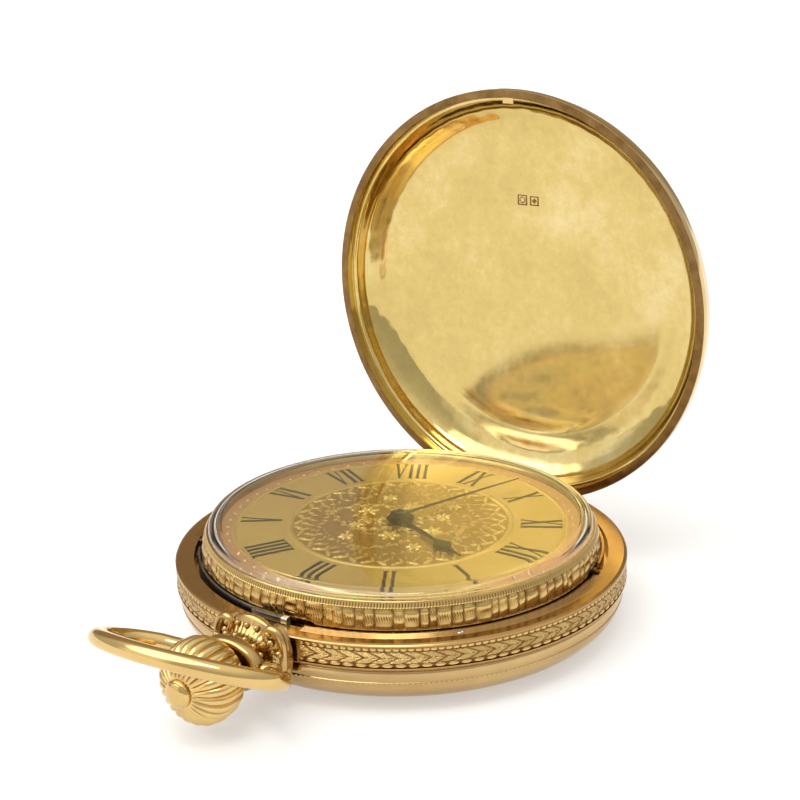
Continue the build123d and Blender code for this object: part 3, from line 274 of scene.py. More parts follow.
def make_dial():
    """Gold dial: radially brushed hour ring, grained centre, matte rose ring outside."""
    m, nt, b = new_mat("dial_gold")
    tc, ang, rad = polar(nt)
    cb = nt.nodes.new("ShaderNodeCombineXYZ")
    ma = nt.nodes.new("ShaderNodeMath")
    ma.operation = "MULTIPLY"
    ma.inputs[1].default_value = 260.0
    nt.links.new(ang, ma.inputs[0])
    mr = nt.nodes.new("ShaderNodeMath")
    mr.operation = "MULTIPLY"
    mr.inputs[1].default_value = 900.0
    nt.links.new(rad, mr.inputs[0])
    nt.links.new(ma.outputs[0], cb.inputs["X"])
    nt.links.new(mr.outputs[0], cb.inputs["Y"])
    streak = noise(nt, cb.outputs[0], 1.0, 3.0, 0.6)
    ramp = nt.nodes.new("ShaderNodeValToRGB")
    e = ramp.color_ramp.elements
    e[0].position, e[0].color = 0.0, (0.95, 0.71, 0.19, 1)
    e[1].position, e[1].color = 1.0, (0.80, 0.47, 0.19, 1)
    for p, c in ((0.61, (0.95, 0.71, 0.19, 1)), (0.625, (0.94, 0.69, 0.19, 1)), (0.915, (0.94, 0.69, 0.19, 1)), (0.93, (0.82, 0.50, 0.21, 1))):
        x = e.new(p)
        x.color = c
    nt.links.new(ranged(nt, rad, 0.0, 0.0202, 0.0, 1.0), ramp.inputs["Fac"])
    dp = nt.nodes.new("ShaderNodeAttribute")
    dp.attribute_name = "depth"
    mx = nt.nodes.new("ShaderNodeMix")
    mx.data_type = "RGBA"
    mx.blend_type = "MIX"
    for sk in mx.inputs:
        if sk.type == "RGBA" and sk.name == "A":
            sk.default_value = (0.50, 0.29, 0.065, 1)
    nt.links.new(dp.outputs["Fac"], mx.inputs["Factor"])
    nt.links.new(ramp.outputs["Color"], [k for k in mx.inputs if k.type == "RGBA" and k.name == "B"][0])
    nt.links.new([k for k in mx.outputs if k.type == "RGBA"][0], b.inputs["Base Color"])
    b.inputs["Metallic"].default_value = 0.60
    r2 = nt.nodes.new("ShaderNodeValToRGB")
    f = r2.color_ramp.elements
    f[0].position, f[0].color = 0.0, (0.20, 0.20, 0.20, 1)
    f[1].position, f[1].color = 1.0, (0.36, 0.36, 0.36, 1)
    for p, v in ((0.61, 0.20), (0.625, 0.24), (0.915, 0.24), (0.93, 0.36)):
        x = f.new(p)
        x.color = (v, v, v, 1)
    nt.links.new(ranged(nt, rad, 0.0, 0.0202, 0.0, 1.0), r2.inputs["Fac"])
    ad = nt.nodes.new("ShaderNodeMath")
    ad.operation = "MULTIPLY_ADD"
    ad.inputs[1].default_value = 0.16
    nt.links.new(streak, ad.inputs[0])
    nt.links.new(r2.outputs["Color"], ad.inputs[2])
    su = nt.nodes.new("ShaderNodeMath")
    su.operation = "SUBTRACT"
    su.inputs[1].default_value = 0.08
    nt.links.new(ad.outputs[0], su.inputs[0])
    nt.links.new(su.outputs[0], b.inputs["Roughness"])
    n1 = bump(nt, streak, 0.5, 0.004 * MM)
    n2 = bump(nt, noise(nt, tc, 14000, 2), 0.4, 0.003 * MM, n1)
    nt.links.new(n2, b.inputs["Normal"])
    return m


M["dial"] = make_dial()


# ------------------------------------------------------------------ meshes
def outward(me):
    """Turns a closed mesh's faces to look out."""
    me.calc_loop_triangles()
    co = np.zeros(len(me.vertices) * 3, np.float32)
    me.vertices.foreach_get("co", co)
    co = co.reshape(-1, 3).astype(float)
    t = np.zeros(len(me.loop_triangles) * 3, np.int32)
    me.loop_triangles.foreach_get("vertices", t)
    a, b, c = (co[t.reshape(-1, 3)[:, i]] for i in range(3))
    if (a * np.cross(b, c)).sum() < 0:
        me.flip_normals()


def build(name, V, faces, mat, sharp=32.0, smooth=True):
    me = bpy.data.meshes.new(name)
    V = np.asarray(V, float) * MM
    me.from_pydata(V.tolist(), [], faces if isinstance(faces, list) else faces.tolist())
    me.validate()
    me.update()
    outward(me)
    if smooth:
        me.shade_smooth()
        me.set_sharp_from_angle(angle=math.radians(sharp))
    me.materials.append(mat)
    o = bpy.data.objects.new(name, me)
    bpy.context.scene.collection.objects.link(o)
    return o


def spl(pts, n):
    """Catmull-Rom curve through points, n steps to each span."""
    P = np.asarray(pts, float)
    P = np.vstack([2 * P[0] - P[1], P, 2 * P[-1] - P[-2]])
    out = []
    for i in range(1, len(P) - 2):
        p0, p1, p2, p3 = P[i - 1:i + 3]
        for k in range(n):
            t = k / n
            out.append(0.5 * (2 * p1 + (p2 - p0) * t + (2 * p0 - 5 * p1 + 4 * p2 - p3) * t * t + (3 * p1 - p0 - 3 * p2 + p3) * t ** 3))
    out.append(P[-2])
    return [tuple(p) for p in out]


def dens(pts, step):
    """Straight runs cut into pieces no longer than step."""
    out = [tuple(pts[0])]
    for a, b in zip(pts[:-1], pts[1:]):
        a, b = np.asarray(a, float), np.asarray(b, float)
        n = max(1, int(math.ceil(np.linalg.norm(b - a) / step)))
        out += [tuple(a + (b - a) * k / n) for k in range(1, n + 1)]
    return out


def bev(pts, i, r, n=3):
    """Corner i of a profile rounded."""
    p, a, b = (np.asarray(pts[j], float) for j in (i, i - 1, (i + 1) % len(pts)))
    u, v = (a - p) / np.linalg.norm(a - p), (b - p) / np.linalg.norm(b - p)
    s, e = p + u * r, p + v * r
    out = []
    for k in range(n + 1):
        t = k / n
        out.append(tuple((1 - t) ** 2 * s + 2 * t * (1 - t) * p + t * t * e))
    return out


def rounded(pts, r, skip=()):
    out = []
    for i in range(len(pts)):
        if i in skip:
            out.append(tuple(pts[i]))
        else:
            out += bev(pts, i, r[i] if isinstance(r, (list, tuple)) else r)
    return out


def lathe(name, prof, nseg, mat, disp=None, closed=True, axis="Z", a0=0.0, a1=TAU, sharp=32.0, depth=None):
    """A profile (r, z) turned about Z, or about the pendant's axis with (r, x). disp(R, Z, A) returns moved R, Z, A."""
    P = np.asarray(prof, float)
    full = abs((a1 - a0) - TAU) < 1e-9
    na = nseg if full else nseg + 1
    ang = a0 + (a1 - a0) * np.arange(na) / nseg
    R = np.repeat(P[:, :1], na, 1)
    Z = np.repeat(P[:, 1:2], na, 1)
    A = np.repeat(ang[None, :], len(P), 0)
    R0, Z0 = R, Z
    if disp is not None:
        R, Z, A = disp(R, Z, A)
    D = None if depth is None else depth(R0, Z0, R, Z).reshape(-1)
    if axis == "Z":
        V = np.stack([R * np.cos(A), R * np.sin(A), Z], -1)
    else:
        V = np.stack([Z, -R * np.sin(A), PZ + R * np.cos(A)], -1)
    idx = np.arange(len(P) * na).reshape(len(P), na)
    V = V.reshape(-1, 3)
    for i in range(len(P)):
        if P[i, 0] < 1e-9:
            idx[i, :] = idx[i, 0]
    rows = len(P) if closed else len(P) - 1
    faces = []
    cols = na if full else na - 1
    for i in range(rows):
        j = (i + 1) % len(P)
        a, b = idx[i], idx[j]
        if P[i, 0] < 1e-9 and P[j, 0] < 1e-9:
            continue
        k = np.arange(cols)
        k2 = (k + 1) % na
        if P[i, 0] < 1e-9:
            faces += np.stack([a[k], b[k2], b[k]], 1).tolist()
        elif P[j, 0] < 1e-9:
            faces += np.stack([a[k], a[k2], b[k]], 1).tolist()
        else:
            faces += np.stack([a[k], a[k2], b[k2], b[k]], 1).tolist()
    if not full and closed:
        faces.append(idx[:, 0].tolist())
        faces.append(idx[::-1, -1].tolist())
    used = np.zeros(len(V), bool)
    for f in faces:
        used[f] = True
    ren = np.cumsum(used) - 1
    faces = [[int(ren[v]) for v in f] for f in faces]
    o = build(name, V[used], faces, mat, sharp)
    if D is not None:
        at = o.data.attributes.new("depth", "FLOAT", "POINT")
        at.data.foreach_set("value", D[used].astype(np.float32))
    return o


def open_lid(o):
    """Closed cover's coordinates to where it stands open."""
    c, s = math.cos(OPEN), math.sin(OPEN)
    T = Matrix(((c, 0, -s, (HX - c * HX + s * HZ) * MM), (0, 1, 0, 0), (s, 0, c, (HZ - s * HX - c * HZ) * MM), (0, 0, 0, 1)))
    o.data.transform(T)
    o.data.update()
    return o


def tube(name, pts, rad, nseg, mat, sharp=40, flat=1.0, up=None):
    """Round wire along points, with domed ends."""
    P = np.asarray(pts, float)
    rad = np.broadcast_to(np.asarray(rad, float), (len(P),)).copy()
    T = np.gradient(P, axis=0)
    T /= np.linalg.norm(T, axis=1)[:, None]
    u = np.cross(T[0], up if up is not None else (0.3, 0.5, 0.81))
    u /= np.linalg.norm(u)
    ang = TAU * np.arange(nseg) / nseg
    V, rows = [], []
    cap = [(-1, 0.0), (-0.87, 0.5), (-0.5, 0.87)]
    for i in range(len(P)):
        u = u - T[i] * np.dot(u, T[i])
        u /= np.linalg.norm(u)
        w = np.cross(T[i], u)
        rings = [(0.0, 1.0)]
        if i == 0:
            rings = [(c, s) for c, s in cap[1:]] + rings
        if i == len(P) - 1:
            rings = rings + [(-c, s) for c, s in cap[:0:-1]]
        for off, sc in rings:
            V.append(P[i] + T[i] * off * rad[i] + rad[i] * sc * (np.cos(ang)[:, None] * u + flat * np.sin(ang)[:, None] * w))
    m = len(V)
    V = np.concatenate(V)
    V = np.vstack([V, P[0] - T[0] * rad[0], P[-1] + T[-1] * rad[-1]])
    faces = []
    for i in range(m - 1):
        for k in range(nseg):
            k2 = (k + 1) % nseg
            faces.append([i * nseg + k, i * nseg + k2, (i + 1) * nseg + k2, (i + 1) * nseg + k])
    for k in range(nseg):
        faces.append([m * nseg, k2 if False else (k + 1) % nseg, k])
        faces.append([m * nseg + 1, (m - 1) * nseg + k, (m - 1) * nseg + (k + 1) % nseg])
    return build(name, V, faces, mat, sharp)


def join(name, objs):
    """Several meshes into one piece."""
    V, F, off = [], [], 0
    mats = []
    mi = []
    for o in objs:
        me = o.data
        co = np.array([v.co for v in me.vertices])
        if me.materials[0] not in mats:
            mats.append(me.materials[0])
        k = mats.index(me.materials[0])
        V.append(co)
        for p in me.polygons:
            F.append([v + off for v in p.vertices])
            mi.append(k)
        off += len(co)
    me = bpy.data.meshes.new(name)
    me.from_pydata(np.concatenate(V).tolist(), [], F)
    me.shade_smooth()
    me.set_sharp_from_angle(angle=math.radians(35))
    for m in mats:
        me.materials.append(m)
    me.polygons.foreach_set("material_index", np.array(mi, np.int32))
    for o in objs:
        d = o.data
        bpy.data.objects.remove(o)
        bpy.data.meshes.remove(d)
    o = bpy.data.objects.new(name, me)
    bpy.context.scene.collection.objects.link(o)
    return o


def ball(c, r, mat, seg=16, squash=(1, 1, 1)):
    n = seg
    V, F = [(0, 0, 1)], []
    rows = n // 2
    for i in range(1, rows):
        t = math.pi * i / rows
        for k in range(n):
            a = TAU * k / n
            V.append((math.sin(t) * math.cos(a), math.sin(t) * math.sin(a), math.cos(t)))
    V.append((0, 0, -1))
    for k in range(n):
        F.append([0, 1 + k, 1 + (k + 1) % n])
        for i in range(rows - 2):
            a, b = 1 + i * n, 1 + (i + 1) * n
            F.append([a + k, b + k, b + (k + 1) % n, a + (k + 1) % n])
        F.append([len(V) - 1, len(V) - 1 - n + (k + 1) % n, len(V) - 1 - n + k])
    V = np.array(V) * r * np.array(squash) + np.array(c)
    return build("ball", V, F, mat, 60)


def prism(pts, z0, z1, mat, chamfer=0.0):
    """Flat outline between two heights, its top edge drawn in a little."""
    P = np.asarray(pts, float)
    c = P.mean(0)
    n = len(P)
    rows = [(P, z0), (P, z1 - chamfer)]
    if chamfer:
        d = P - c
        rows.append((P - d / np.maximum(np.linalg.norm(d, axis=1), 1e-6)[:, None] * chamfer, z1))
    V = [(x, y, z) for pp, z in rows for x, y in pp]
    F = []
    for i in range(len(rows) - 1):
        for k in range(n):
            F.append([i * n + k, i * n + (k + 1) % n, (i + 1) * n + (k + 1) % n, (i + 1) * n + k])
    F.append(list(range((len(rows) - 1) * n, len(rows) * n)))
    F.append(list(range(n - 1, -1, -1)))
    return build("prism", V, F, mat, 30)


def tooth(x, sharpness=1.0):
    """Rounded ridge wave, 0..1, once per unit."""
    return np.abs(np.sin(math.pi * x)) ** sharpness


def hash1(k, seed=0.0):
    v = np.sin(k * 127.1 + seed * 311.7) * 43758.5453
    return v - np.floor(v)


# ------------------------------------------------------------------ front cover
outer = spl([(25.03, 9.0), (24.2, 11.3), (21.8, 12.75), (18.0, 13.45), (9.0, 13.88), (0, 14.0)], 14)
outer[-1] = (0.0, 14.0)
inner = spl([(0, 13.4), (9.0, 13.3), (18.0, 12.95)], 12)[:-1] + spl([(18.0, 12.95), (20.8, 12.35), (22.75, 11.1), (23.62, 9.35)], 14)
prof = [(24.05, 8.11), (24.07, 8.065), (24.12, 8.05), (24.9, 8.05), (24.98, 8.065), (25.03, 8.13)] + outer + inner + [
    (23.72, 9.2), (23.80, 9.16), (24.02, 9.16), (24.05, 9.12)]


def lid_disp(R, Z, A):
    # fine turned rings on the outside, and the faint hand-planished waviness inside
    out = (Z > 13.3) & (R > 0.2) & (np.arange(len(prof))[:, None] < 6 + len(outer))
    Z = Z - np.where(out, 0.012 * tooth(A * 36 / math.pi + np.sin(R * 1.9) * 1.2, 1.0) * np.clip((R - 1.5) / 3, 0, 1) * np.clip((20.5 - R) / 2, 0, 1), 0)
    ins = (np.arange(len(prof))[:, None] >= 6 + len(outer)) & (R < 22)
    X, Y = R * np.cos(A), R * np.sin(A)
    w = 0.006 * (np.sin(X * 0.41 + 1.3 * np.sin(Y * 0.23)) + np.sin(Y * 0.37 + 0.8 * np.sin(X * 0.31 + 2.0))) * np.clip((21 - R) / 6, 0, 1)
    Z = Z + np.where(ins, w, 0)
    wall = (np.arange(len(prof))[:, None] >= 6 + len(outer)) & (R > 18.2) & (R < 23.7)
    k = np.clip((R - 18.2) / 1.2, 0, 1) * np.clip((23.7 - R) / 0.6, 0, 1)
    R = R + np.where(wall, k * (0.012 * np.sin(A * 23 + 2 * np.sin(A * 5)) + 0.008 * np.sin(A * 57 + R * 1.7) + 0.006 * np.sin(R * 9.0)), 0)
    return R, Z, A


# keep the outside's turned rings dense enough to read
lid = lathe("front_cover_shell", prof, 540, M["lid"], lid_disp)
open_lid(lid)
lid.data.materials.append(M["polish"])
lid.data.materials.append(M["rim"])
# rim and outside take their own finish
cz = np.array([v.co for v in lid.data.vertices]) / MM
ci, si = math.cos(OPEN), math.sin(OPEN)
dx, dz = cz[:, 0] - HX, cz[:, 2] - HZ
zc = HZ - si * dx + ci * dz
xc = HX + ci * dx + si * dz
rc = np.hypot(xc, cz[:, 1])
mi = []
for p in lid.data.polygons:
    v = list(p.vertices)
    z, r = zc[v].mean(), rc[v].mean()
    mi.append(2 if (z < 8.2 and r > 23.9) else (1 if (r > 24.2 or z > 13.44 - 0.0) else 0))
lid.data.polygons.foreach_set("material_index", np.array(mi, np.int32))

# lip for the catch
lip = lathe("lip", rounded([(23.45, 8.05), (24.15, 8.05), (24.15, 8.2), (23.45, 8.2)], 0.04), 40, M["gold"], a0=math.radians(-1.7), a1=math.radians(1.7))
open_lid(lip)


def knuckle(name, y0, y1, r, hole, x, z, mat, web=None, n=48):
    """Hinge knuckle: a tube about a line parallel to Y, with an optional web outline."""
    prof = rounded([(hole, y0), (r, y0), (r, y1), (hole, y1)], 0.07)
    P = np.asarray(prof)
    V, F = [], []
    for rr, yy in P:
        for k in range(n):
            a = TAU * k / n
            V.append((x + rr * math.cos(a), yy, z + rr * math.sin(a)))
    m = len(P)
    for i in range(m):
        j = (i + 1) % m
        for k in range(n):
            F.append([i * n + k, j * n + k, j * n + (k + 1) % n, i * n + (k + 1) % n])
    o = build(name, V, F, mat, 40)
    if web is None:
        return [o]
    W = [(px, yy, pz) for yy in (y0, y1) for px, pz in web]
    nw = len(web)
    WF = [list(range(nw)), list(range(2 * nw - 1, nw - 1, -1))] + [[k, nw + k, nw + (k + 1) % nw, (k + 1) % nw] for k in range(nw)]
    return [o, build(name + "_web", W, WF, mat, 30)]


kn = knuckle("front_knuckle", -1.2, 1.2, 0.62, 0.35, HX, HZ, M["gold"],
             [(-24.72, 8.07), (-24.72, 8.75), (-23.95, 8.75), (-23.25, 8.02), (-23.75, 7.9), (-23.93, 7.62)])
for k in kn:
    open_lid(k)


# two small struck marks inside the cover: a plain frame with a generic figure in it
def mark(cx, cy, size, figure):
    z1 = 13.275
    h = size / 2
    parts = [prism([(cx - h, cy - h), (cx + h, cy - h), (cx + h, cy + h), (cx - h, cy + h)], 0, 0.035, M["tarnish"])]
    for (x0, y0, x1, y1) in ((-h, -h, h, -h + 0.13), (-h, h - 0.13, h, h), (-h, -h, -h + 0.13, h), (h - 0.13, -h, h, h)):
        parts.append(prism([(cx + x0, cy + y0), (cx + x1, cy + y0), (cx + x1, cy + y1), (cx + x0, cy + y1)], 0, 0.14, M["rim"], 0.04))
    if figure == "ring":
        for k in range(10):
            a = TAU * k / 10
            parts.append(ball((cx + 0.27 * size * math.cos(a), cy + 0.27 * size * math.sin(a), 0.05), 0.1, M["rim"], 8))
    else:
        parts.append(prism([(cx - 0.3 * size, cy), (cx, cy - 0.3 * size), (cx + 0.3 * size, cy), (cx, cy + 0.3 * size)], 0, 0.13, M["rim"], 0.04))
    for o in parts:
        for v in o.data.vertices:
            v.co.z = (z1 + 0.02) * MM - v.co.z
        outward(o.data)
        open_lid(o)
    return parts


marks = mark(11.2, -1.2, 1.25, "ring") + mark(11.2, 0.45, 1.15, "lozenge")
lid_marks = join("front_cover_marks", marks)
front_details = join("front_cover_knuckle", kn + [lip])
for o in (lid, front_details, lid_marks):
    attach(o, "front_cover")
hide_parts("front_cover")

# ------------------------------------------------------------------ chasing on the band
NL = 96
zt = np.linspace(5.46, 7.64, 45)


def band_disp(R, Z, A):
    rows = (R > 24.97)
    t = (Z - 6.55) / 1.09
    # upper border: short upright strokes
    top = np.clip((t - 0.62) / 0.06, 0, 1)
    h_top = 0.01 + 0.13 * tooth(A * 210 / TAU, 0.8) * np.clip((1.0 - t) / 0.1, 0, 1)
    # lower border: row of small round scallops
    u = (A * 120 / TAU) % 1.0 - 0.5
    w = (t + 0.80) / 0.20
    h_bot = 0.0 + 0.155 * np.sqrt(np.clip(1 - (u / 0.44) ** 2 - w ** 2 * 0.9, 0, 1))
    bot = np.clip((-0.58 - t) / 0.05, 0, 1)
    # field of feathered leaves pointing along the band
    tm = (t + 0.02) / 0.60
    am = np.abs(tm)
    ph = A * NL / TAU + 0.80 * am ** 1.15
    leaf = np.floor(ph)
    fr = ph - leaf
    jit = hash1(np.mod(leaf, NL), 1.0)
    swell = np.clip(fr / 0.16, 0, 1) ** 0.8 * np.clip((1 - fr) / 0.20, 0, 1) ** 0.6 * (0.72 + 0.28 * jit)
    rib = 0.5 + 0.5 * np.sin(TAU * (2.6 * fr + 3.1 * am + jit))
    vein = np.clip(am / 0.09, 0, 1)
    edge = np.clip((1 - am) / 0.14, 0, 1) ** 0.7
    h_mid = 0.155 * swell * (0.50 + 0.50 * rib) * (0.35 + 0.65 * vein) * edge
    h = h_mid * (1 - top) * (1 - bot) + h_top * top + h_bot * bot
    # thin grooves between the borders
    for g in (-0.575, 0.615):
        h = h * (1 - 0.85 * np.exp(-((t - g) / 0.03) ** 2))
    ends = np.clip((1.0 - np.abs(t)) / 0.03, 0, 1)
    R = np.where(rows, 24.975 + h * ends, R)
    return R, Z, A


pband = [(24.955, 7.64)] + [(24.96, 5.46)] + [(24.98, z) for z in zt]
segs = 1150


# the stored depth darkens the chasing's hollows: partly patina, partly painted shade
def band_depth(R0, Z0, R, Z):
    return np.where(R > 24.972, np.clip((R - 24.975) / 0.135, 0, 1) ** 1.35, 0.0)


band_r = lathe("band_chasing_right", pband, segs, M["chased"], band_disp, depth=band_depth, a0=math.radians(11.3), a1=math.radians(161.0), sharp=75)
band_l = lathe("band_chasing_left", pband, segs, M["chased"], band_disp, depth=band_depth, a0=math.radians(199.0), a1=math.radians(348.7), sharp=75)
for o in (band_r, band_l):
    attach(o, "case")

# ------------------------------------------------------------------ bezel
NC, NR = 440, 112
bz = [(20.9, 7.72), (20.9, 9.55), (20.25, 9.7), (20.25, 10.25), (20.6, 10.7), (21.44, 10.7), (21.44, 10.96), (21.47, 10.995), (21.6, 10.95)]
coin = dens([(21.6, 10.95), (21.93, 10.36)], 0.07)[1:]
ribz = dens([(21.95, 10.28), (22.1, 9.85), (22.24, 9.0), (22.28, 8.66)], 0.09)
bz_tail = [(22.22, 8.5), (22.08, 8.4), (22.05, 8.3), (22.05, 7.72)]
bprof = bz + coin + ribz + bz_tail
i_c0, i_c1 = len(bz), len(bz) + len(coin)
i_r1 = i_c1 + len(ribz)
row = np.arange(len(bprof))[:, None]


def bezel_disp(R, Z, A):
    c = (row >= i_c0 + 1) & (row < i_c1 - 1)
    R = R - np.where(c, 0.085 * (1 - tooth(A * NC / TAU, 0.7)), 0)
    Z = Z - np.where(c, 0.04 * (1 - tooth(A * NC / TAU, 0.7)), 0)
    # hand-cut upright facets of uneven width
    ph = A * NR / TAU
    ph = ph + 0.22 * np.sin(A * 17) + 0.16 * np.sin(A * 41 + 1.0)
    k = np.floor(ph)
    f = ph - k
    tilt = (hash1(np.mod(k, NR), 2.0) - 0.5)
    depth = 0.10 + 0.10 * hash1(np.mod(k, NR), 3.0)
    prof_f = np.sqrt(np.clip(1 - (2 * f - 1) ** 2, 0, 1))
    r = (row >= i_c1) & (row < i_r1)
    hz = np.clip((Z - 8.66) / (10.3 - 8.66), 0, 1)
    vert = np.sqrt(np.clip(1 - (2 * hz - 1) ** 4, 0, 1))
    cut = 0.5 + 0.5 * np.sin(hz * 9.0 + 6 * hash1(np.mod(k, NR), 4.0))
    R = R - np.where(r, depth * (1 - prof_f * (0.45 + 0.55 * vert)) + 0.08 * cut * prof_f * vert + 0.08 * tilt * (f - 0.5)
                     + 0.045 * tooth(A * 528 / TAU + 2.5 * hz, 0.8) * (0.35 + 0.65 * hash1(np.mod(k, NR), 5.0)), 0)
    # clear of the case springs' pockets the facets run on down, close to the ledge
    deg = np.degrees(A) % 360
    w = np.clip((deg - 10.5) / 2, 0, 1) * np.clip((98.5 - deg) / 2, 0, 1) + np.clip((deg - 199) / 2, 0, 1) * np.clip((295 - deg) / 2, 0, 1)
    low = (row >= i_c1) & (row < len(bprof) - 1)
    Z = np.where(low, Z - 0.40 * w * np.clip((9.5 - Z) / 0.9, 0, 1) * np.clip((Z - 8.08) / 0.30, 0.3, 1), Z)
    return R, Z, A




# the stored depth darkens the cut facets and the coin edge's grooves: partly patina, partly painted shade
def bezel_depth(R0, Z0, R, Z):
    d = np.ones_like(R) * 0.62
    c = (row >= i_c0 + 1) & (row < i_c1 - 1)
    r = (row >= i_c1) & (row < i_r1)
    d = np.where(c, 1 - np.clip((R0 - R) / 0.085, 0, 1) * 0.9, d)
    return np.where(r, 1 - np.clip((R0 - R - 0.02) / 0.15, 0, 1), d)


bezel = lathe("bezel_ring", bprof, 2640, M["ribbed"], bezel_disp, sharp=50, depth=bezel_depth)
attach(bezel, "case")
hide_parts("bezel")

# ------------------------------------------------------------------ crystal
gp = spl([(0, 12.5), (5, 12.485), (10, 12.4), (15, 12.26), (19.0, 12.09), (20.3, 11.95), (21.0, 11.72), (21.3, 11.45), (21.4, 11.15)], 6)
gp += [(21.4, 10.76), (21.34, 10.71), (20.66, 10.71), (20.6, 10.76)]
gp += spl([(20.58, 10.95), (20.4, 11.15), (20.0, 11.3), (19.2, 11.42), (15, 11.58), (10, 11.67), (5, 11.735), (0, 11.75)], 6)
gp[0] = (0.0, gp[0][1])
gp[-1] = (0.0, gp[-1][1])
crystal = lathe("crystal_glass", gp, 360, M["glass"], closed=False, sharp=60)
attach(crystal, "case")
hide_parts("crystal")

# ------------------------------------------------------------------ dial
leaves = []   # x, y, half length, half width, direction, height


def leaf(x, y, L, W, d, h):
    leaves.append((x, y, L, W, d, h))


for k in range(44):
    a = TAU * k / 44
    s = 1 if k % 2 else -1
    leaf(11.35 * math.cos(a), 11.35 * math.sin(a), 0.85, 0.30, a + s * 0.9, 0.17)
    leaf(10.55 * math.cos(a + 0.04), 10.55 * math.sin(a + 0.04), 0.62, 0.22, a - s * 0.5, 0.14)
    leaf(9.85 * math.cos(a + 0.09), 9.85 * math.sin(a + 0.09), 0.40 if k % 3 else 0.75, 0.15, a + s * 0.25, 0.10)
for fx, fy, fr_, ph0 in ((3.9, 1.2, 1.15, 0.0), (-4.2, -1.0, 1.2, 0.4), (0.4, 4.6, 1.1, 0.8), (-0.6, -4.8, 1.15, 0.2), (6.6, -2.7, 0.8, 0.3), (-6.7, 2.8, 0.8, 0.9),
                         (5.0, 5.2, 0.85, 0.1), (-5.2, -5.0, 0.85, 0.6), (-3.6, 3.4, 0.8, 0.5), (3.4, -3.6, 0.8, 0.0)):
    for k in range(6):
        a = ph0 + TAU * k / 6
        leaf(fx + fr_ * 0.62 * math.cos(a), fy + fr_ * 0.62 * math.sin(a), fr_ * 0.52, fr_ * 0.26, a, 0.20)
    leaf(fx, fy, fr_ * 0.24, fr_ * 0.24, 0, 0.24)
for k in range(9):       # scrolled stems
    a0 = TAU * k / 9
    for j in range(22):
        t = j / 21
        a = a0 + 1.5 * t * (1 if k % 2 else -1)
        r = 1.9 + 6.9 * t ** 0.85
        leaf(r * math.cos(a), r * math.sin(a), 0.30, 0.11, a + (1.0 if k % 2 else -1.0), 0.11)
        if j % 3 == 1:
            for s in (-1, 1):
                leaf(r * math.cos(a) + 0.42 * math.cos(a + s * 1.9), r * math.sin(a) + 0.42 * math.sin(a + s * 1.9), 0.42, 0.15, a + s * 0.8, 0.13)
for k in range(60):
    a = TAU * k / 60
    r = 8.9 + 0.5 * math.sin(7 * a)
    leaf(r * math.cos(a), r * math.sin(a), 0.42, 0.16, a + (0.7 if k % 2 else -0.7), 0.12)
for k in range(150):
    r = 2.2 + 6.4 * math.sqrt(((k * 0.618034) % 1.0))
    a = TAU * ((k * 0.381966 + 0.13 * math.sin(3.7 * k)) % 1.0)
    leaf(r * math.cos(a), r * math.sin(a), 0.26 + 0.12 * ((k * 7) % 5) / 5, 0.10, a * 2.0 + k * 1.3, 0.09)
leaves = np.array(leaves)


def relief(X, Y):
    h = np.zeros_like(X)
    for x, y, L, W, d, hh in leaves:
        dxx, dyy = X - x, Y - y
        near = (np.abs(dxx) < L) & (np.abs(dyy) < L)
        if not near.any():
            continue
        u = (dxx[near] * math.cos(d) + dyy[near] * math.sin(d)) / L
        v = (-dxx[near] * math.sin(d) + dyy[near] * math.cos(d)) / W
        q = np.clip(1 - u * u - v * v, 0, 1)
        g = hh * np.sqrt(q) * (0.82 + 0.18 * np.cos(9 * u + 3 * np.abs(v)))
        h[near] = np.maximum(h[near], g)
    return h


rr = np.concatenate([np.arange(1.15, 12.0, 0.085), [12.05, 12.1, 12.2, 12.32, 12.45, 12.55, 12.62, 12.8], np.linspace(13.2, 18.0, 13),
                     [18.2, 18.27, 18.33, 18.42, 18.5, 18.56, 18.62, 18.8], np.linspace(18.9, 19.5, 13), [19.7, 19.9, 20.1, 20.16, 20.2]])
zz = []
for r in rr:
    z = 10.16
    if r > 12.05:
        z = 10.16 + 0.10 * max(0, 1 - ((r - 12.35) / 0.24) ** 2)
    if 12.6 < r < 18.25:
        z = 10.15
    if 18.2 < r < 18.65:
        z = 10.15 + 0.07 * max(0, 1 - ((r - 18.43) / 0.17) ** 2)
    if r > 18.65:
        z = 10.12
    if r > 19.95:
        z = 10.16
    if r > 20.18:
        z = 10.13
    zz.append(z)
dprof = [(1.12, 9.62), (1.12, 10.12)] + list(zip(rr.tolist(), zz)) + [(20.2, 9.62)]


def dial_disp(R, Z, A):
    X, Y = R * np.cos(A), R * np.sin(A)
    inside = (R < 12.05) & (R > 1.13) & (Z > 10.1)
    h = relief(X, Y)
    g = 0.012 * tooth(A * 90 / TAU * 1.0 + R * 1.1, 0.8) * (R > 2)
    Z = Z + np.where(inside, np.minimum(np.maximum(h, g), 0.235), 0)
    # minute beads
    u = ((A * 60 / TAU + 0.5) % 1.0 - 0.5) * TAU / 60 * 19.2
    q = np.clip(1 - (u / 0.22) ** 2 - ((R - 19.2) / 0.22) ** 2, 0, 1)
    Z = Z + np.where((R > 18.85) & (R < 19.6), 0.15 * np.sqrt(q), 0)
    # fine milled edge on the ring inside the beads
    Z = Z + np.where((R > 18.3) & (R < 18.56), 0.02 * tooth(A * 300 / TAU, 1.0), 0)
    return R, Z, A




def dial_depth(R0, Z0, R, Z):
    inside = (R0 < 12.05) & (Z0 > 10.1)
    return np.where(inside, np.clip((Z - Z0 - 0.012) / 0.10, 0.12, 1), 1.0)


dial = lathe("dial_face", dprof, 1200, M["dial"], dial_disp, sharp=60, depth=dial_depth)


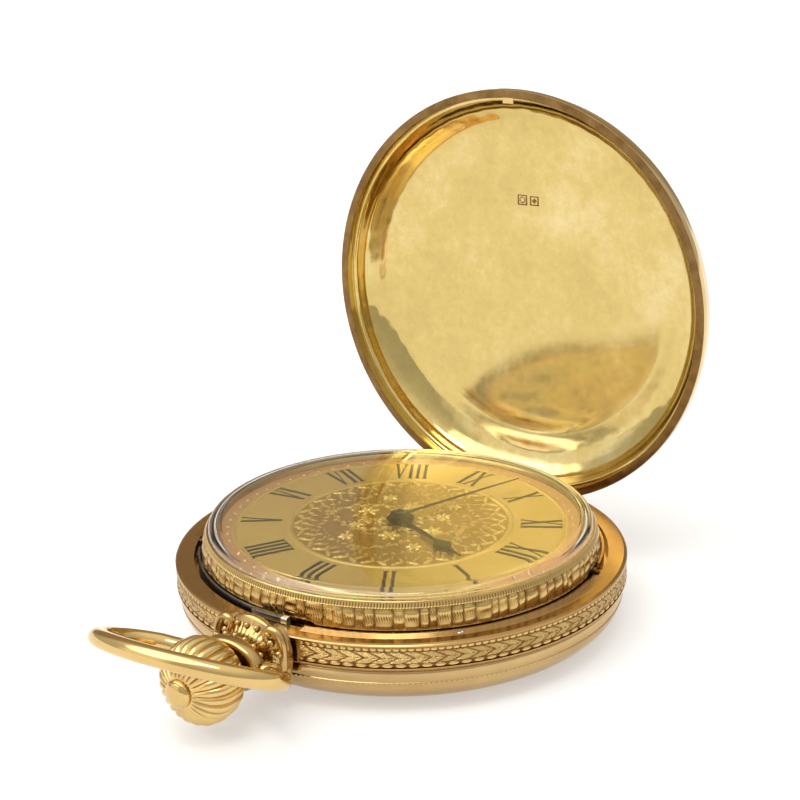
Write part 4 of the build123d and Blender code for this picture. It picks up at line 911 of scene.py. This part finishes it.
def numerals():
    T, H = 0.36, 4.6           # stem, height
    r0 = 13.35
    parts = []

    def quad(az, pts):
        v = (math.cos(az), math.sin(az))
        u = (math.sin(az), -math.cos(az))
        q = [((r0 + b) * v[0] + a * u[0], (r0 + b) * v[1] + a * u[1]) for a, b in pts]
        parts.append(prism(q, 10.12, 10.20, M["ink"], 0.02))

    for hnum in range(1, 13):
        s = {1: "I", 2: "II", 3: "III", 4: "IIII", 5: "V", 6: "VI", 7: "VII", 8: "VIII", 9: "IX", 10: "X", 11: "XI", 12: "XII"}[hnum]
        adv = {"I": 0.86, "V": 1.75, "X": 1.85}
        w = sum(adv[c] for c in s)
        x = -w / 2
        az = math.radians(90 - 30 * hnum)
        for ch in s:
            a = adv[ch]
            if ch == "I":
                m = x + a / 2
                quad(az, [(m - T / 2, 0), (m + T / 2, 0), (m + T / 2, H), (m - T / 2, H)])
                for b0 in (0, H - 0.09):
                    quad(az, [(m - a * 0.34, b0), (m + a * 0.34, b0), (m + a * 0.34, b0 + 0.09), (m - a * 0.34, b0 + 0.09)])
            elif ch == "V":
                m = x + a / 2
                quad(az, [(m - 0.10, 0), (m + 0.18, 0), (x + 0.22 + T, H), (x + 0.22, H)])
                quad(az, [(m - 0.02, 0), (m + 0.10, 0), (x + a - 0.22, H), (x + a - 0.34, H)])
                for c0 in (x + 0.22 + T / 2, x + a - 0.28):
                    quad(az, [(c0 - 0.26, H - 0.07), (c0 + 0.26, H - 0.07), (c0 + 0.26, H), (c0 - 0.26, H)])
            else:
                quad(az, [(x + a - 0.22 - T, 0), (x + a - 0.22, 0), (x + 0.22 + T, H), (x + 0.22, H)])
                quad(az, [(x + 0.26, 0), (x + 0.38, 0), (x + a - 0.26, H), (x + a - 0.38, H)])
                for c0 in (x + 0.22 + T / 2, x + a - 0.30):
                    quad(az, [(c0 - 0.26, H - 0.07), (c0 + 0.26, H - 0.07), (c0 + 0.26, H), (c0 - 0.26, H)])
                for c0 in (x + a - 0.22 - T / 2, x + 0.32):
                    quad(az, [(c0 - 0.26, 0), (c0 + 0.26, 0), (c0 + 0.26, 0.07), (c0 - 0.26, 0.07)])
            x += a
    return join("dial_numerals", parts)


nums = numerals()
for o in (dial, nums):
    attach(o, "case")
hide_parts("dial")


# ------------------------------------------------------------------ hands
def hand(name, outline, z0, h, az, boss, bore, mat):
    """Bevelled hand: outline (x, half width), a ridge along the middle, and a domed boss."""
    P = dens(outline, 0.35)
    V, F = [], []
    for x, w in P:
        w = max(w, 0.01)
        ridge = z0 + h * (0.55 + 0.45 * min(1, w / 0.3))
        for y, z in ((-w, z0), (-w, z0 + 0.45 * h), (0, ridge), (w, z0 + 0.45 * h), (w, z0)):
            V.append((x * math.cos(az) - y * math.sin(az), x * math.sin(az) + y * math.cos(az), z))
    for i in range(len(P) - 1):
        for k in range(5):
            a, b = i * 5 + k, i * 5 + (k + 1) % 5
            F.append([a, a + 5, b + 5, b])
    F.append([4, 3, 2, 1, 0][::-1])
    F.append([(len(P) - 1) * 5 + k for k in range(4, -1, -1)])
    o = build(name + "_arm", V, F, mat, 15)
    b = lathe(name + "_boss", rounded([(bore, z0), (boss, z0), (boss, z0 + h), (bore, z0 + h)], 0.05), 72, mat)
    return join(name, [o, b])


hour = hand("hour_hand_blued", [(0.96, 0.30), (7.1, 0.20), (7.25, 0.30), (8.35, 1.02), (8.65, 1.02), (9.85, 0.28), (10.3, 0.19), (11.5, 0.08), (12.18, 0.02)],
            10.45, 0.25, math.radians(90 - 30 * 12.8), 1.5, 0.95, M["blued"])
mins = hand("minute_hand_blued", [(0.6, 0.27), (9.0, 0.17), (10.2, 0.19), (12.4, 0.15), (15.0, 0.11), (17.0, 0.07), (17.58, 0.02)],
            10.95, 0.2, math.radians(90 - 6 * 48), 1.15, 0.6, M["blued"])
tail = hand("minute_tail", [(0.6, 0.36), (1.5, 0.26), (1.8, 0.20), (1.95, 0.06)], 10.95, 0.2, math.radians(90 - 6 * 48 + 180), 1.1, 0.61, M["blued"])
cap = lathe("hub", [(0.0, 11.62), (0.16, 11.60), (0.3, 11.5), (0.42, 11.38), (0.62, 11.3), (0.86, 11.22), (0.92, 11.12), (0.62, 11.1), (0.62, 10.75), (0.36, 10.75), (0.36, 11.35), (0.0, 11.36)],
            60, M["blued"], closed=False, sharp=40)
mins = join("minute_hand_blued", [mins, tail, cap])
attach(hour, "hour")
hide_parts("hour_hand")
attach(mins, "minute")
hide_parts("minute_hand")

# ------------------------------------------------------------------ lock spring and a case pin
strip = lathe("strip", rounded([(22.37, 7.16), (22.61, 7.16), (22.61, 8.44), (22.37, 8.44)], 0.05), 160, M["steel"], a0=math.radians(-53), a1=math.radians(-5))
block = lathe("block", rounded([(22.60, 7.55), (23.07, 7.55), (23.07, 8.05), (23.30, 8.05), (23.30, 8.66), (22.60, 8.66)], 0.05), 40, M["steel"], a0=math.radians(-6.0), a1=math.radians(3.7))
# the catch's tip is the near-white steel: a painted glint
tip = lathe("tip", rounded([(22.62, 7.6), (23.05, 7.6), (23.06, 8.05), (23.33, 8.06), (23.34, 8.5), (23.26, 8.69), (22.64, 8.69)], 0.05), 8, M["frost"], a0=math.radians(3.5), a1=math.radians(5.2))
foot = lathe("foot", rounded([(22.37, 7.16), (22.94, 7.16), (22.94, 7.49), (22.37, 7.49)], 0.04), 24, M["steel"], a0=math.radians(-58.5), a1=math.radians(-52.5))
lock = join("lock_spring_dark", [strip, block, tip, foot])
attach(lock, "lock_spring")
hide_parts("lock_spring")
pin_a = math.radians(49)
# the small near-white bead beside the pin head is a painted glint
pin = join("case_ring_pin", [ball((23.3 * math.cos(pin_a), 23.3 * math.sin(pin_a), 8.0), 0.26, M["bright_steel"], 16, (1, 1, 0.5)),
                             ball((23.3 * math.cos(pin_a + 0.012), 23.3 * math.sin(pin_a + 0.012), 8.02), 0.12, M["frost"], 12, (1, 1, 0.8))])
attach(pin, "case")
# fine turned steps on the ledge, inside the cover's seat
lp = [(22.5, 7.9), (22.5, 8.0)]
for k in range(6):
    r0 = 22.62 + 0.2 * k
    lp += [(r0, 8.005), (r0 + 0.04, 8.04), (r0 + 0.13, 8.04), (r0 + 0.17, 8.005)]
lp += [(23.86, 8.0), (23.86, 7.9)]
steps = [lathe("steps", lp, 300, M["ledge"], a0=math.radians(9.6), a1=math.radians(99.4), sharp=25),
         lathe("steps2", lp, 380, M["ledge"], a0=math.radians(198), a1=math.radians(296.4), sharp=25)]
steps = join("ledge_turned_steps", steps)
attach(steps, "case")

# ------------------------------------------------------------------ crown
cp = spl([(3.1, 31.22), (3.55, 31.5), (4.12, 32.4), (4.33, 33.4), (4.33, 34.4), (4.05, 35.3), (3.4, 36.05), (2.5, 36.55), (1.75, 36.82), (1.5, 36.88)], 7)
cprof = [(0.92, 31.6), (2.45, 31.6), (2.5, 31.25), (2.6, 31.2)] + cp + [(1.3, 36.9), (0.0, 36.9), (0.0, 33.2), (0.92, 33.2)]
crow = np.arange(len(cprof))[:, None]
NF = 24


def crown_disp(R, X, A):
    on = (crow >= 4) & (crow < 4 + len(cp))
    f = tooth(A * NF / TAU, 0.62)
    side = np.clip((X - 31.25) / 0.5, 0, 1)
    face = np.clip((X - 35.6) / 0.9, 0, 1)
    depth = 0.42 * side * (1 - face) + 0.13 * face
    R = R - np.where(on, depth * (1 - f) * np.clip((R - 1.4) / 1.0, 0, 1), 0)
    X = X - np.where(on, 0.20 * face * (1 - f) * np.clip((R - 1.45) / 0.5, 0, 1), 0)
    return R, X, A


crown = lathe("crown_fluted", cprof, 576, M["gold"], crown_disp, axis="X", sharp=60)
button = lathe("crown_button_dome", [(0.0, 36.92), (1.38, 36.92), (1.45, 36.98), (1.45, 37.2), (1.38, 37.36), (1.2, 37.52), (0.9, 37.66), (0.5, 37.76), (0.2, 37.795), (0.0, 37.8)],
               96, M["polish"], closed=False, axis="X", sharp=50)
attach(crown, "crown")
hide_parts("crown")
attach(button, "crown")
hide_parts("crown_button")

# ------------------------------------------------------------------ pendant
pp = [(0.86, 25.2), (0.86, 26.0), (1.92, 26.05), (1.92, 30.2), (1.98, 30.28), (3.35, 30.28)] + spl([(3.35, 30.28), (3.8, 30.1), (3.98, 29.75), (3.98, 29.2), (3.85, 28.75)], 4)[1:]
pp += spl([(3.62, 28.5), (3.3, 27.9), (3.05, 27.2), (3.1, 26.7), (3.35, 26.45)], 4)
pp += spl([(3.4, 26.4), (3.7, 26.2), (3.75, 25.9), (3.6, 25.5), (3.4, 25.2)], 3)[1:]


def pend_disp(R, X, A):
    # flattened neck and head, fluted a little where it leaves the foot
    k = np.clip((X - 26.3) / 1.4, 0, 1)
    k = k * k * (3 - 2 * k)
    flat = 1 - 0.30 * k
    on = R > 2.4
    f = np.where(on & (X > 26.5) & (X < 28.45), 0.10 * (1 - tooth(A * 28 / TAU, 0.8)), 0)
    R = R - f
    return np.where(on, R * np.sqrt(1.0 / (np.sin(A) ** 2 + (np.cos(A) / flat) ** 2)), R), X, A


pend = lathe("pendant_neck", pp, 288, M["pend"], pend_disp, axis="X", sharp=40)
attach(pend, "case")
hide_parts("pendant")

# pendant dressing: scrolls and beads
trim = []
for s in (-1, 1):
    path = spl([(26.6, s * 2.9, PZ + 1.5), (26.7, s * 2.35, PZ + 1.9), (26.6, s * 2.2, PZ + 2.6), (26.5, s * 2.8, PZ + 3.05), (26.45, s * 3.6, PZ + 2.7),
                (26.4, s * 4.1, PZ + 1.6), (26.4, s * 4.2, PZ + 0.2), (26.4, s * 4.1, PZ - 1.2), (26.35, s * 3.75, PZ - 2.5), (26.2, s * 3.2, PZ - 3.2)], 8)
    t = np.linspace(0, 1, len(path))
    trim.append(tube("scroll", path, 0.24 + 0.24 * np.sin(math.pi * t), 16, M["pend"]))
    trim.append(ball((26.7, s * 2.9, PZ + 1.7), 0.42, M["pend"], 16))
for k in range(18):
    a = TAU * k / 18
    trim.append(ball((28.62, 3.62 * math.sin(a), PZ + 2.62 * math.cos(a)), 0.30, M["pend"], 14))
for s in (-1, 1):
    for y, z, x, r in ((2.6, 2.6, 26.75, 0.34), (4.05, 0.9, 26.95, 0.36), (3.7, -1.5, 26.9, 0.34), (1.2, 2.9, 26.8, 0.30), (0.0, 2.95, 26.8, 0.34)):
        if y > 0 or s > 0:
            trim.append(ball((x, s * y, PZ + z), r, M["pend"], 14))
    # flange plate behind the scroll
    out = spl([(2.2, 2.95), (2.9, 3.2), (3.9, 2.4), (4.4, 0.6), (4.3, -1.4), (3.8, -2.9), (2.9, -3.4), (2.2, -3.3)], 5)
    plate = prism([(s * y, z) for y, z in out] if s > 0 else [(s * y, z) for y, z in out][::-1], 25.25, 26.2, M["pend"], 0.12)
    for v in plate.data.vertices:
        v.co = (v.co.z, v.co.x, v.co.y + PZ * MM)
    outward(plate.data)
    trim.append(plate)
trim = join("pendant_scrolls", trim)
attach(trim, "case")

# ------------------------------------------------------------------ bow
RC, UC, VC, RO = 6.0, 7.0, 4.3, 14.0
UO = UC - math.sqrt((RO - RC) ** 2 - VC ** 2)
TA = math.atan2(VC, UC - UO)
half = [(UO + RO * math.cos(t), RO * math.sin(t)) for t in np.linspace(0, TA, 10)[:-1]]
half += [(UC + RC * math.cos(t), VC + RC * math.sin(t)) for t in np.linspace(TA, math.radians(158), 26)]
half += [(1.05, 5.85), (0.6, 5.1)]
uv = [(u, -v) for u, v in half[::-1]] + half[1:]
uv = spl(uv, 3)
# the ring sits a touch askew on its screws, one side hanging lower
K = 0.955
uv = [(u * K, v * (K + (1 - K) * max(0.0, min(1.0, (3.2 - u) / 2.2)))) for u, v in uv]
cant = [0.036 * v * min(1.0, max(0.0, u / 6.0)) for u, v in uv]
pts = [(BOW_X + u * math.cos(BOW_ANG) - w * math.sin(BOW_ANG), v, PZ + u * math.sin(BOW_ANG) + w * math.cos(BOW_ANG)) for (u, v), w in zip(uv, cant)]
t = np.linspace(-1, 1, len(pts))
bow_w = tube("bow_wire", pts, 0.945 - 0.10 * np.clip((np.abs(t) - 0.86) / 0.14, 0, 1), 40, M["polish"])


def ylathe(name, prof, n, x, z, mat):
    V, F = [], []
    for r, y in prof:
        for k in range(n):
            a = TAU * k / n
            V.append((x + r * math.cos(a), y, z + r * math.sin(a)))
    m = len(prof)
    for i in range(m):
        j = (i + 1) % m
        for k in range(n):
            F.append([i * n + k, j * n + k, j * n + (k + 1) % n, i * n + (k + 1) % n])
    o = build(name, V, F, mat, 40)
    me = o.data
    return o


eyes = []
for s in (-1, 1):
    p = rounded([(0.52, 4.16), (1.24, 4.16), (1.24, 5.6), (0.52, 5.6)], 0.3, skip=(0, 3))
    p = [(r, s * y) for r, y in p]
    eyes.append(ylathe("eye", p, 48, BOW_X, PZ, M["polish"]))
bow = join("bow_ring", [bow_w] + eyes)
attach(bow, "bow")
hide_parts("bow")

# ------------------------------------------------------------------ back cover
bo = [(0, 0), (14.5, 0)] + spl([(14.5, 0), (17.5, 0.17), (20.0, 0.45), (23.0, 1.25), (24.35, 2.5), (24.68, 3.25)], 8)[1:]
bead = dens([(24.7, 3.3), (24.78, 3.62)], 0.045)
bo2 = [(24.80, 3.66), (24.74, 3.72), (24.76, 3.80)] + spl([(24.80, 3.9), (24.87, 4.15), (24.87, 4.45), (24.8, 4.78), (24.7, 4.93)], 4)
bi = [(24.62, 4.95), (24.34, 4.95), (24.3, 4.9), (24.3, 3.8)] + spl([(24.3, 3.8), (23.75, 2.7), (22.6, 1.8), (19.8, 1.05), (14.5, 0.6)], 6)[1:] + [(0, 0.6)]
back_prof = bo + bead + bo2 + bi
nb0, nb1 = len(bo), len(bo) + len(bead)
brow = np.arange(len(back_prof))[:, None]


def back_disp(R, Z, A):
    b = (brow >= nb0) & (brow < nb1)
    u = ((A * 300 / TAU) % 1.0 - 0.5) / 0.5
    w = (Z - 3.46) / 0.15
    R = R + np.where(b, 0.075 * np.sqrt(np.clip(1 - (u / 0.9) ** 2 - w ** 2, 0, 1)) - 0.03, 0)
    # the rim dips where the two band knuckles stand
    y = np.abs(R * np.sin(A))
    at_hinge = (np.cos(A) < 0) & (y < 3.78)
    Z = np.where(at_hinge & (Z > 4.30), 4.30 + 0.02 * (Z - 4.3), Z)
    return R, Z, A


# the shell takes the darker gold, painted shade for the underside
back = lathe("back_cover_shell", back_prof, 1500, M["back"], back_disp, closed=False, sharp=45)
bk = knuckle("back_knuckle", -1.17, 1.17, 0.5, 0.25, BX, BZ, M["gold"], [(-25.15, 4.5), (-24.35, 4.5), (-24.35, 4.2), (-24.85, 4.2)])
bk = join("back_cover_knuckle", bk)
for o, sl in ((back, "polished_gold"), (bk, "gold")):
    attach(o, "back_cover")
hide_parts("back_cover")

# ------------------------------------------------------------------ finish of the CAD pieces that stay as they are
SLOT_MAT = {"engraved_gold": "gold", "gold": "gold", "polished_gold": "polish", "crystal_glass": "glass", "spring_steel": "steel", "steel": "bright_steel",
            "blued_steel": "blued", "black_steel": "steel", "brass": "brass", "nickel_plate": "nickel", "ruby": "ruby", "dial_enamel": "dial"}
slot_of = {}
for m in frame["record"].get("subparts", []):
    slot_of[m["node"]] = m.get("material_slot")
for name, o in N.items():
    sl = slot_of.get(name, "gold")
    o.data.materials.clear()
    o.data.materials.append(M["ledge"] if name in ("case_band", "lift_spring", "spring_screws") else M[SLOT_MAT.get(sl, "gold")])
    o.data.shade_smooth()
    o.data.set_sharp_from_angle(angle=math.radians(28))

# ------------------------------------------------------------------ floor, light, camera
fm, fnt, fb = new_mat("white_table")
fb.inputs["Base Color"].default_value = (0.60, 0.60, 0.60, 1)
fb.inputs["Emission Color"].default_value = (1.0, 0.985, 0.965, 1)
fb.inputs["Emission Strength"].default_value = 0.42
fb.inputs["Roughness"].default_value = 0.9
fb.inputs["Specular IOR Level"].default_value = 0.1
bpy.ops.mesh.primitive_plane_add(size=12.0, location=(0, 0, -0.00002))
floor = bpy.context.object
floor.name = "white_floor"
floor.data.materials.append(fm)

w = bpy.data.worlds.new("studio")
bpy.context.scene.world = w
w.use_nodes = True
nt = w.node_tree
bg = nt.nodes["Background"]
tc = nt.nodes.new("ShaderNodeTexCoord")
sp = nt.nodes.new("ShaderNodeSeparateXYZ")
nt.links.new(tc.outputs["Generated"], sp.inputs[0])
rp = nt.nodes.new("ShaderNodeValToRGB")
e = rp.color_ramp.elements
e[0].position, e[0].color = 0.0, (0.62, 0.61, 0.60, 1)
e[1].position, e[1].color = 1.0, (1.15, 1.15, 1.15, 1)
for p, v in ((0.36, 0.66), (0.58, 0.80), (0.80, 1.05)):
    x = e.new(p)
    x.color = (v, v, v * 0.995, 1)
nt.links.new(sp.outputs["Z"], rp.inputs["Fac"])
# the room is darker on the far side, low down, than on the near side
dt = nt.nodes.new("ShaderNodeVectorMath")
dt.operation = "DOT_PRODUCT"
dt.inputs[1].default_value = (-0.74, -0.56, 0.36)
nt.links.new(tc.outputs["Generated"], dt.inputs[0])
dk = mix_col(nt, ranged(nt, dt.outputs["Value"], 0.62, 0.90, 0.0, 1.0), (1.0, 1.0, 1.0), (0.56, 0.44, 0.29))
sc_ = nt.nodes.new("ShaderNodeVectorMath")
sc_.operation = "MULTIPLY"
nt.links.new(rp.outputs["Color"], sc_.inputs[0])
nt.links.new(dk, sc_.inputs[1])
# a bright pane high up gives small glints on rounded edges
wd = nt.nodes.new("ShaderNodeVectorMath")
wd.operation = "DOT_PRODUCT"
wd.inputs[1].default_value = (0.2500, 0.1760, 0.9520)
nt.links.new(tc.outputs["Generated"], wd.inputs[0])
wr = ranged(nt, wd.outputs["Value"], 0.986, 0.991, 0.0, 5.5)
# the wide softbox overhead, and a lower one on the near left that the open cover throws back on to the dial
lit = [wr]
for d, c0, c1, e in (((0.42, -0.35, 0.84), 0.84, 0.90, 1.65), ((0.80, -0.54, 0.27), 0.88, 0.96, 0.50)):
    pn = nt.nodes.new("ShaderNodeVectorMath")
    pn.operation = "DOT_PRODUCT"
    pn.inputs[1].default_value = Vector(d).normalized()
    nt.links.new(tc.outputs["Generated"], pn.inputs[0])
    lit.append(ranged(nt, pn.outputs["Value"], c0, c1, 0.0, e))
last = sc_.outputs[0]
for x in lit:
    wv = nt.nodes.new("ShaderNodeVectorMath")
    wv.operation = "ADD"
    nt.links.new(last, wv.inputs[0])
    nt.links.new(x, wv.inputs[1])
    last = wv.outputs[0]
nt.links.new(last, bg.inputs["Color"])
bg.inputs["Strength"].default_value = 1.0

sun = bpy.data.lights.new("softbox", "SUN")
sun.energy = 0.35
sun.angle = math.radians(60)
so = bpy.data.objects.new("softbox", sun)
bpy.context.scene.collection.objects.link(so)
so.rotation_mode = "QUATERNION"
so.rotation_quaternion = Vector((0.42, -0.35, 0.84)).normalized().to_track_quat("Z", "Y")

cam_d = bpy.data.cameras.new("camera")
cam = bpy.data.objects.new("camera", cam_d)
bpy.context.scene.collection.objects.link(cam)
cam_d.lens = 70.898
cam_d.sensor_width = 36.0
cam_d.sensor_fit = "HORIZONTAL"
cam_d.clip_start, cam_d.clip_end = 0.01, 50
right, up, fwd = Vector((-0.569089, 0.822041, -0.019675)), Vector((-0.263774, -0.15984, 0.951249)), Vector((-0.77882, -0.546535, -0.307796))
Rm = Matrix((right, up, -fwd)).transposed().to_4x4()
cam.matrix_world = Matrix.Translation(Vector((133.6178, 94.0222, 77.7521)) * MM) @ Rm
bpy.context.scene.camera = cam
bpy.context.scene.view_settings.view_transform = "Standard"
bpy.context.scene.view_settings.look = "None"

bpy.context.view_layer.update()
